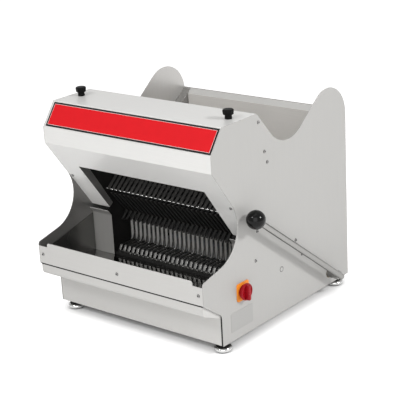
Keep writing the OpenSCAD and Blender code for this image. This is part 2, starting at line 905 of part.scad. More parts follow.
module upper_guide() {
    corners = [
        [guide_nose_y - guide_lip_y, guide_nose_z + guide_lip_z], [guide_nose_y, guide_nose_z, guide_lip_r],
        [guide_end_y, guide_end_z]
    ];
    path = open_path(corners, strip_steps);
    bar_y = wall_y - wall_t;
    place() color("lightgray") {
        for (x = strips_x) across(sheet(path, -guide_t), x - strip_w / 2, x + strip_w / 2);
        block(
            [-passage_half, bar_y - guide_bar_w, guide_end_z - guide_bar_low],
            [passage_half, bar_y, guide_end_z - guide_bar_low + guide_bar_h]
        );
    }
}
module hopper_front_wall() {
    under_roof = roof_z - cover_t;
    path = [
        [roof_rear_y - wall_lap, under_roof], [roof_rear_y, under_roof], [wall_y, wall_fold_z],
        [wall_y, wall_low_z]
    ];
    place() color("silver") across(sheet(path, wall_t), -inner_w, inner_w);
}
module hopper_back_plate() {
    path = [[back_y, base_top], [back_y, back_fold_z], [rear_y - rear_t - wall_t, back_top_z - wall_t]];
    place() color("silver") across(sheet(path, wall_t), -hopper_half, hopper_half);
}
// A lower wall beside the bed, a ledge, an upper wall further out and its sloping flange
module inner_wall() {
    ledge_rear_z = pivot_z + bed_r + ledge_rise;
    ledge = [[inner_front_y, inner_front_z - ledge_drop], [ledge_rear_y, ledge_rear_z]];
    top = [[inner_front_y, inner_front_z], [inner_rear_y, inner_rear_z]];
    lower = [[inner_front_y, base_top], [ledge_rear_y, base_top], ledge[1], ledge[0]];
    upper = [ledge[0], ledge[1], [inner_rear_y, ledge_rear_z], top[1], top[0]];
    difference() {
        union() {
            across(lower, passage_half, passage_half + wall_t);
            across(sheet(ledge, wall_t), passage_half, hopper_half + wall_t);
            across(upper, hopper_half, hopper_half + wall_t);
            across(sheet(top, wall_t), hopper_half, inner_w);
        }
        bar_x(pivot_y, pivot_z, shaft_hole_r, passage_half - cut, passage_half + wall_t + cut);
    }
}
module right_inner_wall() {
    place() color("silver") inner_wall();
}
module left_inner_wall() {
    place() color("silver") mirror([1, 0, 0]) inner_wall();
}
module feet() {
    rim = foot_h * foot_rim_share;
    place() color("silver") at_feet() rotate_extrude() polygon([
        [0, 0], [foot_r, 0], [foot_r, rim], [foot_r * foot_waist_share, foot_h], [0, foot_h]
    ]);
}
module foot_studs() {
    place() color("dimgray") at_feet() {
        translate([0, 0, foot_h]) cylinder(r = stud_r, h = base_top - foot_h + nut_h);
        translate([0, 0, base_top]) cylinder(r = nut_r, h = nut_h, $fn = 6);
    }
}
module edge_seal() {
    edge_y = toe_y + seal_inset;
    path = [
        [seal_start_y, seal_start_z + seal_inset, 0], [edge_y, toe_z + seal_inset, toe_r],
        [edge_y, base_z, 0]
    ];
    across(sheet(open_path(path), -seal_t), drawer_half + seat_gap, inner_w);
    block(
        [inner_w - seal_foot_w, edge_y, base_z],
        [inner_w, edge_y + seal_t, drawer_z - 2 * front_gap]
    );
}
// The seal along the right panel's lower edge, and the gasket between the apron and the drawer
module edge_seals() {
    place() color("black") {
        edge_seal();
        block(
            [-drawer_half, gasket_inset - nose_reach, drawer_top_z + slide_gap],
            [drawer_half, gasket_inset - nose_reach + gasket_t, apron_low_z]
        );
    }
}
module drawer_runners() {
    top = drawer_z - runner_gap;
    place() color("silver") both_sides()
        block(
            [drawer_half - runner_w, front_y + front_t, top - runner_t],
            [inner_w, drawer_rear_y, top]
        );
}
module rating_plate() {
    place() color("silver")
        block(
            [half_w, plate_y - plate_len / 2, plate_z - plate_h / 2],
            [half_w + plate_t, plate_y + plate_len / 2, plate_z + plate_h / 2]
        );
}
module switch_plate() {
    place() color("orange") difference() {
        block(
            [half_w, switch_y - switch_w / 2, switch_z - switch_w / 2],
            [half_w + switch_t, switch_y + switch_w / 2, switch_z + switch_w / 2]
        );
        bar_x(switch_y, switch_z, switch_stem_r + run_gap, half_w - cut, half_w + switch_t + cut);
    }
}
module switch_body() {
    place() color("dimgray")
        block(
            [inner_w - body_d, switch_y - body_half, switch_z - body_half],
            [inner_w, switch_y + body_half, switch_z + body_half]
        );
}
module switch_box() {
    low_y = switch_y - body_half - box_margin;
    high_y = switch_y + body_half + box_margin;
    place() color("silver") difference() {
        switch_box_space(inner_w);
        block(
            [inner_w - box_d + box_wall, low_y + box_wall, box_low_z + box_wall],
            [inner_w + cut, high_y - box_wall, box_top_z - box_wall]
        );
    }
}
module side_plug() {
    place() color("silver") bar_x(plug_y, plug_z, plug_r, half_w, half_w + plug_t);
}
module housing_screws() {
    leg_screw_z = brow_low_z - slope * leg_screw_y;
    place() color("silver") {
        both_sides() {
            for (s = side_screw_shares)
                translate([half_w, rear_y * s[0], roof_z * s[1]]) rotate([0, 90, 0]) screw_head();
            translate([leg_screw_x, leg_screw_y, leg_screw_z])
                rotate([90 + atan(1 / slope), 0, 0]) screw_head();
            for (share = rear_screw_shares)
                translate([rear_screw_x, rear_y, back_top_z * share]) rotate([-90, 0, 0]) screw_head();
        }
        for (x = [-apron_screw_x, 0, apron_screw_x])
            translate([x, -nose_reach, apron_screw_z]) rotate([90, 0, 0]) screw_head();
    }
}
module shaft_bushes() {
    place() color("goldenrod") {
        difference() {
            union() {
                bar_x(pivot_y, pivot_z, shaft_bush_r, inner_w - bush_flange_t, half_w);
                bar_x(pivot_y, pivot_z, bush_flange_r, inner_w - bush_flange_t, inner_w);
            }
            bar_x(pivot_y, pivot_z, shaft_r + run_gap, inner_w - bush_flange_t - cut, half_w + cut);
        }
        difference() {
            bar_x(pivot_y, pivot_z, bush_flange_r, -inner_w, -inner_w + bush_flange_t);
            bar_x(pivot_y, pivot_z, shaft_r + run_gap, -inner_w - cut, -inner_w + bush_flange_t + cut);
        }
    }
}
module guide_rods() {
    place() color("silver")
        for (x = [-rod_x_at, rod_x_at], y = [frame_a_y - rod_shift, frame_b_y + rod_shift])
            translate([x, y, base_top]) cylinder(r = rod_r, h = bracket_z - base_top);
}
module rod_brackets() {
    reach = rod_r + bracket_margin;
    place() color("dimgray") both_sides()
        block(
            [bracket_in, frame_a_y - rod_shift - reach, bracket_z],
            [inner_w, frame_b_y + rod_shift + reach, bracket_z + bracket_t]
        );
}
module crank_bearings() {
    place() color("dimgray") for (x = [-bearing_x, bearing_x]) difference() {
        block(
            [x - bearing_w / 2, blade_y - bearing_half, base_top],
            [x + bearing_w / 2, blade_y + bearing_half, crank_z + bearing_half]
        );
        bar_x(blade_y, crank_z, crank_r + run_gap, x - bearing_w, x + bearing_w);
    }
}
module motor_body() {
    end_x = motor_end_x + motor_len;
    place() color("slategray") difference() {
        union() {
            bar_x(motor_y, motor_z, motor_r, motor_end_x + motor_bell_t, end_x - motor_bell_t);
            bar_x(motor_y, motor_z, motor_r * motor_bell_share, motor_end_x, end_x);
            block(
                [motor_end_x + motor_foot_inset, motor_y - motor_foot_half, base_top],
                [end_x - motor_foot_inset, motor_y + motor_foot_half, motor_z - motor_r / 2]
            );
            block(
                [motor_end_x + motor_foot_inset, motor_y - motor_box_half, motor_z],
                [motor_end_x + motor_foot_inset + 2 * motor_box_half, motor_y + motor_box_half,
                    motor_z + motor_r + motor_box_h]
            );
        }
        bar_x(motor_y, motor_z, crank_r + run_gap, motor_end_x - cut, motor_end_x + motor_shaft_in + cut);
    }
}
module drive_belt() {
    crank = [blade_y, crank_z];
    motor = [motor_y, motor_z];
    in_big = big_pulley_r + groove_gap;
    in_small = small_pulley_r + groove_gap;
    place() color("black") difference() {
        across(
            belt_loop(crank, in_big + belt_h, motor, in_small + belt_h),
            belt_x - belt_w / 2, belt_x + belt_w / 2
        );
        across(belt_loop(crank, in_big, motor, in_small), belt_x - belt_w, belt_x + belt_w);
    }
}
module cable_gland() {
    place() color("black") translate([gland_x, gland_y, base_z]) {
        translate([0, 0, -gland_nut_h]) cylinder(r = gland_nut_r, h = gland_nut_h, $fn = 6);
        cylinder(r = gland_r, h = base_t);
        translate([0, 0, base_t]) cylinder(r = gland_nut_r, h = gland_nut_h, $fn = 6);
    }
}

module feed_shaft() {
    place() color("silver")
        bar_x(pivot_y, pivot_z, shaft_r, -inner_w + seat_gap, lever_x - lever_r - shaft_end_gap);
}
module lever_boss() {
    place() color("silver") difference() {
        bar_x(pivot_y, pivot_z, boss_r, half_w + boss_gap, lever_x);
        lever_rod(lever_r);
        bar_x(pivot_y, pivot_z, shaft_r, half_w, lever_x - lever_r - shaft_end_gap);
    }
}
module lever_tube() {
    place() color("silver") lever_rod(lever_r);
}
module lever_knob() {
    place() color("black") difference() {
        along_lever() translate([0, 0, lever_len]) sphere(r = ball_r, $fn = 64);
        lever_rod(lever_r);
    }
}
module spine_section(x0, x1) {
    block([x0, spine_y, spine_low_z], [x1, spine_y + spine_t, spine_top_z]);
}
module pusher_arms() {
    aim = [spine_y + spine_t / 2, (spine_low_z + spine_top_z) / 2] - pivot;
    side = turn(unit(aim)) * arm_w / 2;
    outline = [pivot + side, pivot + aim + side, pivot + aim - side, pivot - side];
    place() color("silver") both_sides() difference() {
        union() {
            bar_x(pivot_y, pivot_z, hub_r, arm_x, arm_x + arm_t);
            across(outline, arm_x, arm_x + arm_t);
            spine_section(arm_x, arm_x + arm_t);
        }
        bar_x(pivot_y, pivot_z, shaft_r, arm_x - cut, arm_x + arm_t + cut);
    }
}
module pusher_spine() {
    place() color("dimgray") spine_section(-arm_x, arm_x);
}
module pusher_fins() {
    outline = [
        [spine_y, spine_top_z],
        [spine_y - fin_upper_reach, spine_low_z + fin_upper_rise],
        [spine_y - fin_notch_reach, spine_low_z - fin_notch_drop],
        [spine_y - fin_lower_reach, spine_low_z - fin_lower_drop],
        [spine_y, spine_low_z]
    ];
    place() color("dimgray") for (x = strips_x) across(outline, x - fin_t / 2, x + fin_t / 2);
}

module beams(y) {
    for (z = [lower_beam_z, upper_beam_z])
        block([-beam_half, y - beam_d / 2, z - beam_h / 2], [beam_half, y + beam_d / 2, z + beam_h / 2]);
}
// One frame post with its two guide bushes; the rod stands off the frame's plane by rod_dy
module side_post(y, rod_dy) {
    rod_y = y + rod_dy;
    difference() {
        union() {
            block(
                [beam_half, y - beam_d / 2, beam_low_foot],
                [post_out, y + beam_d / 2, upper_beam_z + beam_h / 2]
            );
            for (z = [bush_low_z, bush_high_z]) {
                block([post_x, rod_y - ear_w / 2, z], [rod_x_at, rod_y + ear_w / 2, z + bush_h]);
                translate([rod_x_at, rod_y, z]) cylinder(r = bush_out_r, h = bush_h);
            }
        }
        translate([rod_x_at, rod_y, beam_low_foot]) cylinder(r = rod_r + run_gap, h = upper_beam_z);
    }
}
// Blades in the common plane, with narrow end tabs from tab_y0 to tab_y1 on their own beams
module blade_set(tab_y0, tab_y1, places) {
    for (x = places) {
        block(
            [x - blade_t / 2, blade_y - blade_w / 2, beam_low_top + blade_tab_h],
            [x + blade_t / 2, blade_y + blade_w / 2, beam_high_foot - blade_tab_h]
        );
        block([x - blade_t / 2, tab_y0, beam_low_top], [x + blade_t / 2, tab_y1, beam_high_foot]);
    }
}
module con_rod(x, y) {
    difference() {
        union() {
            bar_x(blade_y, crank_z, strap_in_r + strap_wall, x - strap_w / 2, x + strap_w / 2);
            block(
                [x - strap_w / 2, y - stem_w / 2, crank_z],
                [x + strap_w / 2, y + stem_w / 2, beam_low_foot]
            );
        }
        bar_x(blade_y, crank_z, strap_in_r, x - strap_w, x + strap_w);
    }
}
module beams_a() {
    place() color("silver") beams(frame_a_y);
}
module side_posts_a() {
    place() color("silver") both_sides() side_post(frame_a_y, -rod_shift);
}
module blades_a() {
    place() color("lightgray") blade_set(blade_y - blade_w / 2, frame_a_y + beam_d / 2, blades_even_x);
}
module con_rod_a() {
    place() color("dimgray") con_rod(-cam_x, frame_a_y);
}
module beams_b() {
    place() color("silver") beams(frame_b_y);
}
module side_posts_b() {
    place() color("silver") both_sides() side_post(frame_b_y, rod_shift);
}
module blades_b() {
    place() color("lightgray") blade_set(frame_b_y - beam_d / 2, blade_y + blade_w / 2, blades_odd_x);
}
module con_rod_b() {
    place() color("dimgray") con_rod(cam_x, frame_b_y);
}

module crankshaft() {
    left_x = belt_x - groove_w / 2 - rim_w - hub_gap;
    place() color("silver") {
        bar_x(blade_y, crank_z, crank_r, left_x, crank_end_x);
        bar_x(blade_y + throw, crank_z, cam_r, -cam_x - cam_w / 2, -cam_x + cam_w / 2);
        bar_x(blade_y - throw, crank_z, cam_r, cam_x - cam_w / 2, cam_x + cam_w / 2);
    }
}
module pulley(y, z, r) {
    half = groove_w / 2;
    bar_x(y, z, r, belt_x - half, belt_x + half);
    for (x = [belt_x - half - rim_w, belt_x + half]) bar_x(y, z, r + rim_h, x, x + rim_w);
}
module crank_pulley() {
    half = groove_w / 2 + rim_w + cut;
    place() color("dimgray") difference() {
        pulley(blade_y, crank_z, big_pulley_r);
        bar_x(blade_y, crank_z, crank_r, belt_x - half, belt_x + half);
    }
}
module motor_pulley() {
    place() color("dimgray") {
        pulley(motor_y, motor_z, small_pulley_r);
        bar_x(motor_y, motor_z, crank_r, belt_x, motor_end_x + motor_shaft_in);
    }
}
module switch_handle() {
    seat = half_w + switch_t + switch_gap;
    place() color("red") {
        bar_x(switch_y, switch_z, handle_r, seat, seat + handle_t);
        block(
            [seat + handle_t, switch_y - grip_w / 2, switch_z - handle_r],
            [seat + handle_t + grip_h, switch_y + grip_w / 2, switch_z + handle_r]
        );
        bar_x(switch_y, switch_z, switch_stem_r, inner_w + switch_gap, seat);
    }
}
module cover_knob() {
    neck = knob_h * knob_neck_share;
    translate([knob_x, knob_y, roof_z]) {
        translate([0, 0, -knob_stud_len]) cylinder(r = knob_stud_r, h = knob_stud_len + neck);
        translate([0, 0, knob_seat]) cylinder(r = knob_neck_r, h = neck);
        translate([0, 0, neck]) cylinder(r = knob_r, h = knob_h - neck);
    }
}
module right_cover_knob() {
    place() color("black") cover_knob();
}
module left_cover_knob() {
    place() color("black") mirror([1, 0, 0]) cover_knob();
}
module crumb_drawer() {
    front = [
        [drawer_front_y, drawer_top_z, 0], [drawer_front_y, drawer_bend_z, drawer_bend_r],
        [drawer_heel_y, drawer_z, drawer_heel_r], [drawer_rear_y, drawer_z, drawer_corner_r],
        [drawer_rear_y, drawer_wall_z, 0]
    ];
    path = open_path(front);
    side = concat(path, [[drawer_taper_y, drawer_wall_z]]);
    place() color("gainsboro") {
        across(sheet(path, -drawer_t), -drawer_half, drawer_half);
        both_sides() across(side, drawer_half - drawer_t, drawer_half);
    }
}

left_side_panel();
right_side_panel();
base_plate();
base_front_panel();
rear_panel();
top_cover();
label_backing();
label_face();
apron();
outfeed_floor();
outfeed_cheeks();
left_post_guard();
right_post_guard();
bed_comb();
hopper_bed();
upper_guide();
hopper_front_wall();
hopper_back_plate();
left_inner_wall();
right_inner_wall();
feet();
foot_studs();
edge_seals();
drawer_runners();
rating_plate();
switch_plate();
switch_body();
switch_box();
side_plug();
housing_screws();
shaft_bushes();
guide_rods();
rod_brackets();
crank_bearings();
motor_body();
drive_belt();
cable_gland();
feed_shaft();
lever_boss();
lever_tube();
lever_knob();
pusher_arms();
pusher_spine();
pusher_fins();
beams_a();
side_posts_a();
blades_a();
con_rod_a();
beams_b();
side_posts_b();
blades_b();
con_rod_b();
crankshaft();
crank_pulley();
motor_pulley();
switch_handle();
left_cover_knob();
right_cover_knob();
crumb_drawer();
passage_liner();
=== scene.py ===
"""Looks of a table-top bread slicer: satin housing, polished tray, comb, blades and hand lever."""

from math import acos, asin, atan2, cos, hypot, pi, radians, sin

import bmesh
import bpy
from mathutils import Matrix, Vector


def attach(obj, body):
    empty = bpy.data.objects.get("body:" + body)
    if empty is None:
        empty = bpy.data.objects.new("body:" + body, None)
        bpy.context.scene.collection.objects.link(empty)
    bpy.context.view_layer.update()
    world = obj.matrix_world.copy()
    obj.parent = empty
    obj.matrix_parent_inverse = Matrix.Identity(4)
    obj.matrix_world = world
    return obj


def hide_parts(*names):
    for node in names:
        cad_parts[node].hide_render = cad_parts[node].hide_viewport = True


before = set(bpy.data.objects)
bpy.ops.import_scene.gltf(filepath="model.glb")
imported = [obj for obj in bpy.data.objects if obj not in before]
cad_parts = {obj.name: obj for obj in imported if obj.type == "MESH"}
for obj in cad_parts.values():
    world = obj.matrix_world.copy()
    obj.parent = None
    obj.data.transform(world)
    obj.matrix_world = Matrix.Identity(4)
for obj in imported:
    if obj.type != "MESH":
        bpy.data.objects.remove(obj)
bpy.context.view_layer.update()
scene = bpy.context.scene
scene.view_settings.view_transform = "Standard"

# Machine millimetres count from the mid-plane, the front band and the table
MM = 0.001
# The CAD frame's origin in machine millimetres
ORIGIN = Vector((28.4, 265.0, 0.0))
# Outer face of the side panels, their rear edge, and the roof
SIDE_X = 285
REAR_Y = 588
ROOF_Z = 590
# Depth and height of the lever shaft
PIVOT = Vector((492.0, 60.0))


def at(x, y, z):
    """A place in machine millimetres, as metres in the CAD frame."""
    return (Vector((x, y, z)) - ORIGIN) * MM


# Camera

CAMERA_PLACE = (2110.8, -2230.9, 1400.5)
# Turn to the lever side, height above the level and tilt of the picture, in degrees
CAMERA_AZIMUTH = 39.928
CAMERA_ELEVATION = 18.743
CAMERA_ROLL = -3.189
# Lens and sensor in millimetres, seen range in metres
CAMERA_LENS = 113.78
CAMERA_SENSOR = 36
CAMERA_NEAR = 0.05
CAMERA_FAR = 60


def make_camera():
    azimuth, elevation, roll = (radians(a) for a in (CAMERA_AZIMUTH, CAMERA_ELEVATION, CAMERA_ROLL))
    back = Vector((sin(azimuth) * cos(elevation), -cos(azimuth) * cos(elevation), sin(elevation)))
    level = Vector((cos(azimuth), sin(azimuth), 0))
    upright = level.cross(-back)
    right = level * cos(roll) + upright * sin(roll)
    up = upright * cos(roll) - level * sin(roll)
    data = bpy.data.cameras.new("camera")
    data.sensor_width = CAMERA_SENSOR
    data.lens = CAMERA_LENS
    data.clip_start = CAMERA_NEAR
    data.clip_end = CAMERA_FAR
    camera = bpy.data.objects.new("camera", data)
    camera.matrix_world = Matrix((right, up, back)).transposed().to_4x4()
    camera.location = at(*CAMERA_PLACE)
    scene.collection.objects.link(camera)
    scene.camera = camera


make_camera()


# Studio

AMBIENT_COLOUR = (1.0, 0.99, 0.98, 1)
AMBIENT_LEVEL = 0.30
# The backdrop as reflections see it and as the camera sees it
MIRRORED_GREY = (0.8, 0.8, 0.8, 1)
SHOWN_WHITE = (1, 1, 1, 1)
# Floor: half its side and its drop under the feet in metres, its colour and its glow
FLOOR_HALF = 9.0
FLOOR_DROP = 0.0004
FLOOR_COLOUR = (0.9, 0.9, 0.9, 1)
FLOOR_GLOW = 0.8
# Reach in metres and depth of the shade where the feet touch the floor
CONTACT_REACH = 0.06
CONTACT_POWER = 2.0
# The point that the lamps look at, in metres
LAMP_AIM = Vector((0, 0, 0.3))


def maths(nodes, links, operation, socket, other):
    """A maths node on a socket and on another socket or a number."""
    node = nodes.new("ShaderNodeMath")
    node.operation = operation
    links.new(socket, node.inputs[0])
    if isinstance(other, bpy.types.NodeSocket):
        links.new(other, node.inputs[1])
    else:
        node.inputs[1].default_value = other
    return node.outputs[0]


def seen_rays(nodes, links, *kinds):
    """One where a ray is of one of the named kinds."""
    path = nodes.new("ShaderNodeLightPath")
    value = path.outputs[kinds[0]]
    for kind in kinds[1:]:
        value = maths(nodes, links, "MAXIMUM", value, path.outputs[kind])
    return value


def make_world():
    world = bpy.data.worlds.new("studio")
    scene.world = world
    world.use_nodes = True
    nodes, links = world.node_tree.nodes, world.node_tree.links
    nodes.clear()
    out = nodes.new("ShaderNodeOutputWorld")
    ambient = nodes.new("ShaderNodeBackground")
    ambient.inputs["Color"].default_value = AMBIENT_COLOUR
    ambient.inputs["Strength"].default_value = AMBIENT_LEVEL
    shown = nodes.new("ShaderNodeBackground")
    grey = nodes.new("ShaderNodeMix")
    grey.data_type = "RGBA"
    grey.inputs["A"].default_value = MIRRORED_GREY
    grey.inputs["B"].default_value = SHOWN_WHITE
    links.new(seen_rays(nodes, links, "Is Camera Ray"), grey.inputs["Factor"])
    links.new(grey.outputs["Result"], shown.inputs["Color"])
    mix = nodes.new("ShaderNodeMixShader")
    seen = seen_rays(nodes, links, "Is Camera Ray", "Is Transmission Ray", "Is Glossy Ray")
    links.new(seen, mix.inputs[0])
    links.new(ambient.outputs[0], mix.inputs[1])
    links.new(shown.outputs[0], mix.inputs[2])
    links.new(mix.outputs[0], out.inputs["Surface"])


def make_floor():
    """A pale floor that glows to the camera and to reflections, less so close to the feet: a painted
    contact shadow.
    """
    mesh = bpy.data.meshes.new("floor")
    corners = [(x * FLOOR_HALF, y * FLOOR_HALF, 0) for x, y in ((-1, -1), (1, -1), (1, 1), (-1, 1))]
    mesh.from_pydata(corners, [], [(0, 1, 2, 3)])
    floor = bpy.data.objects.new("floor", mesh)
    floor.location.z = -FLOOR_DROP
    scene.collection.objects.link(floor)
    material = bpy.data.materials.new("pale_floor")
    material.use_nodes = True
    nodes, links = material.node_tree.nodes, material.node_tree.links
    nodes.clear()
    out = nodes.new("ShaderNodeOutputMaterial")
    matt = nodes.new("ShaderNodeBsdfDiffuse")
    matt.inputs["Color"].default_value = FLOOR_COLOUR
    glow = nodes.new("ShaderNodeEmission")
    near = nodes.new("ShaderNodeAmbientOcclusion")
    near.inputs["Distance"].default_value = CONTACT_REACH
    open_air = maths(nodes, links, "POWER", near.outputs["AO"], CONTACT_POWER)
    level = maths(nodes, links, "MULTIPLY", open_air, FLOOR_GLOW)
    seen = seen_rays(nodes, links, "Is Camera Ray", "Is Glossy Ray")
    links.new(maths(nodes, links, "MULTIPLY", seen, level), glow.inputs["Strength"])
    both = nodes.new("ShaderNodeAddShader")
    links.new(matt.outputs[0], both.inputs[0])
    links.new(glow.outputs[0], both.inputs[1])
    links.new(both.outputs[0], out.inputs["Surface"])
    mesh.materials.append(material)


def softbox(name, azimuth, elevation, distance, size, power):
    """A square lamp that looks at the machine; azimuth 0 is in front, 90 on the lever side."""
    turn, rise = radians(azimuth), radians(elevation)
    way = Vector((sin(turn) * cos(rise), -cos(turn) * cos(rise), sin(rise)))
    data = bpy.data.lights.new(name, "AREA")
    data.shape = "SQUARE"
    data.size = size
    data.energy = power
    lamp = bpy.data.objects.new(name, data)
    lamp.location = LAMP_AIM + distance * way
    lamp.rotation_euler = (-way).to_track_quat("-Z", "Y").to_euler()
    scene.collection.objects.link(lamp)


make_world()
make_floor()
softbox("overhead_softbox", -20, 78, distance=3.0, size=2.4, power=13)
softbox("left_softbox", -10, 40, distance=3.2, size=0.6, power=24)
softbox("right_softbox", 102, 31, distance=3.2, size=0.45, power=50)
softbox("front_fill", 32, 21, distance=4.2, size=3.2, power=70)


# Finishes

# Strokes of brushed metal: their scale, their stretch and their height in metres
STROKE_SCALE = 14
STROKE_STRETCH = 60.0
STROKE_HEIGHT = 0.0001
# Scale of the handling marks and their change of gloss
MARK_SCALE = 5
MARK_GLOSS = 0.15
# Lowest roughness that a finish takes
SMOOTHEST = 0.02
# Plastic: scales of its tone and of its wear, and the least and most that wear adds to the roughness
TONE_SCALE = 40
WEAR_SCALE = 22
WEAR_GLOSS = (-0.05, 0.08)
# Casting: scales of its tone, wear and skin, its darkest and lightest share, and the height of its skin
CAST_TONE_SCALE = 60
CAST_TONES = (0.8, 1.15)
CAST_WEAR_SCALE = 90
CAST_GLOSS = (-0.08, 0.1)
CAST_SKIN_SCALE = 500
CAST_SKIN_STRENGTH = 0.35
CAST_SKIN_HEIGHT = 0.0004


class Finish:
    """A procedural material under construction: a Principled shader and the nodes that feed it."""

    def __init__(self, name, colour, metallic, roughness, sheen=0.5, rim=1.0):
        self.material = bpy.data.materials.new(name)
        self.material.use_nodes = True
        self.nodes, self.links = self.material.node_tree.nodes, self.material.node_tree.links
        self.shader = self.nodes["Principled BSDF"]
        self.colour = colour
        self.shader.inputs["Base Color"].default_value = (*colour, 1)
        self.shader.inputs["Metallic"].default_value = metallic
        self.shader.inputs["Roughness"].default_value = roughness
        self.shader.inputs["Specular IOR Level"].default_value = sheen
        self.shader.inputs["Specular Tint"].default_value = (rim, rim, rim, 1)

    def noise(self, scale, stretch=(1, 1, 1), detail=4.0):
        """Noise on the piece's own coordinates, per metre."""
        place = self.nodes.new("ShaderNodeTexCoord")
        mapping = self.nodes.new("ShaderNodeMapping")
        mapping.inputs["Scale"].default_value = stretch
        texture = self.nodes.new("ShaderNodeTexNoise")
        texture.inputs["Scale"].default_value = scale
        texture.inputs["Detail"].default_value = detail
        self.links.new(place.outputs["Object"], mapping.inputs["Vector"])
        self.links.new(mapping.outputs[0], texture.inputs["Vector"])
        return texture.outputs["Fac"]

    def spread(self, value, low, high, lowest=0.3, highest=0.7):
        """Maps a value between its lowest and highest to a range; a noise's middle values by default."""
        node = self.nodes.new("ShaderNodeMapRange")
        node.inputs["From Min"].default_value = lowest
        node.inputs["From Max"].default_value = highest
        node.inputs["To Min"].default_value = low
        node.inputs["To Max"].default_value = high
        self.links.new(value, node.inputs["Value"])
        return node.outputs["Result"]

    def blend(self, a, b):
        """The mean of two textures."""
        node = self.nodes.new("ShaderNodeMix")
        node.inputs["Factor"].default_value = 0.5
        self.links.new(a, node.inputs["A"])
        self.links.new(b, node.inputs["B"])
        return node.outputs["Result"]

    def tint(self, value, low, high):
        """Colour between two shades of the finish's own colour, given as factors."""
        ramp = self.nodes.new("ShaderNodeMix")
        ramp.data_type = "RGBA"
        for end, factor in (("A", low), ("B", high)):
            ramp.inputs[end].default_value = (*[min(1, c * factor) for c in self.colour], 1)
        self.links.new(self.spread(value, 0, 1), ramp.inputs["Factor"])
        self.links.new(ramp.outputs["Result"], self.shader.inputs["Base Color"])

    def shade(self, axis, start, end, first, last):
        """Scales the colour from a first to a last share between two places along an axis, in metres."""
        place = self.nodes.new("ShaderNodeTexCoord")
        split = self.nodes.new("ShaderNodeSeparateXYZ")
        scale = self.nodes.new("ShaderNodeVectorMath")
        scale.operation = "SCALE"
        base = self.shader.inputs["Base Color"]
        self.links.new(place.outputs["Object"], split.inputs[0])
        self.links.new(base.links[0].from_socket, scale.inputs[0])
        self.links.new(self.spread(split.outputs[axis], first, last, start, end), scale.inputs["Scale"])
        self.links.new(scale.outputs[0], base)

    def gloss(self, value, low, high):
        self.links.new(self.spread(value, max(low, SMOOTHEST), high), self.shader.inputs["Roughness"])

    def relief(self, value, strength, height):
        bump = self.nodes.new("ShaderNodeBump")
        bump.inputs["Strength"].default_value = strength
        bump.inputs["Distance"].default_value = height
        self.links.new(value, bump.inputs["Height"])
        self.links.new(bump.outputs[0], self.shader.inputs["Normal"])


def brushed(name, colour, metallic, roughness, along, contrast=0.05, strokes=0.12, shade=None, rim=1.0):
    """Sheet or bar with fine strokes along one axis and broad, faint handling marks."""
    finish = Finish(name, colour, metallic, roughness, rim=rim)
    stretch = [1.0 if axis == along else STROKE_STRETCH for axis in "xyz"]
    lines = finish.noise(STROKE_SCALE, stretch, detail=3)
    marks = finish.noise(MARK_SCALE, detail=2)
    finish.tint(finish.blend(lines, marks), 1 - contrast, 1 + contrast)
    if shade:
        finish.shade(*shade)
    finish.gloss(marks, roughness * (1 - MARK_GLOSS), roughness * (1 + MARK_GLOSS))
    finish.relief(lines, strokes, STROKE_HEIGHT)
    return finish.material


def moulded(name, colour, roughness, sheen=0.5, grain=0.0002, strength=0.15, tone=0.1):
    """Plastic or rubber with a fine moulded grain and slight wear in its gloss."""
    finish = Finish(name, colour, 0.0, roughness, sheen)
    finish.tint(finish.noise(TONE_SCALE, detail=3), 1 - tone, 1 + tone)
    finish.gloss(finish.noise(WEAR_SCALE, detail=5), *(roughness + change for change in WEAR_GLOSS))
    finish.relief(finish.noise(scale=1 / (4 * grain), detail=2), strength, grain)
    return finish.material


def ink(name, colour, sheen):
    """Printed film, almost without grain."""
    return moulded(name, colour, 0.5, sheen, grain=0.0001, strength=0.05, tone=0.02)


def cast(name, colour, roughness):
    """Painted casting with a coarse skin."""
    finish = Finish(name, colour, 0.1, roughness)
    finish.tint(finish.noise(CAST_TONE_SCALE, detail=6), *CAST_TONES)
    finish.gloss(finish.noise(CAST_WEAR_SCALE), *(roughness + change for change in CAST_GLOSS))
    finish.relief(finish.noise(CAST_SKIN_SCALE), CAST_SKIN_STRENGTH, CAST_SKIN_HEIGHT)
    return finish.material


# Painted light and shade, where a finish changes its tone: axis, start and end in metres, share at the
# start and at the end
# Blades: painted shade above a height, nearly black, for the shadow of the cover's brow
BLADE_PAINTED_SHADE = ("Z", 0.201, 0.207, 1, 0.08)
# Inner sheet: painted shade, half as light towards the mouth
MOUTH_PAINTED_SHADE = ("Y", -0.12, -0.02, 0.5, 1)
# Cover: painted light on its legs, with the parts above them about a quarter darker
LEG_PAINTED_LIGHT = ("Z", 0.325, 0.37, 1, 0.76)

# Panels, front and cover are one satin sheet in three tones: the panels' copy is darker, painted shade
# against the side lamp, and the cover's copy is lighter, painted light for its underside and legs
satin_panel = brushed("satin_panel", (0.42, 0.415, 0.403), 0.1, 0.5, "z", 0.03)
satin_front = brushed("satin_front", (0.545, 0.538, 0.522), 0.1, 0.48, "x", 0.03)
satin_cover = brushed("satin_cover", (0.945, 0.94, 0.92), 0.08, 0.36, "x", 0.03, shade=LEG_PAINTED_LIGHT)
# Inner faces carry the painted shade towards the mouth
inner_sheet = brushed("inner_sheet", (0.50, 0.49, 0.476), 0.6, 0.36, "z", 0.06, shade=MOUTH_PAINTED_SHADE)
guard_satin = brushed("guard_satin", (0.44, 0.435, 0.423), 0.5, 0.34, "z", 0.05)
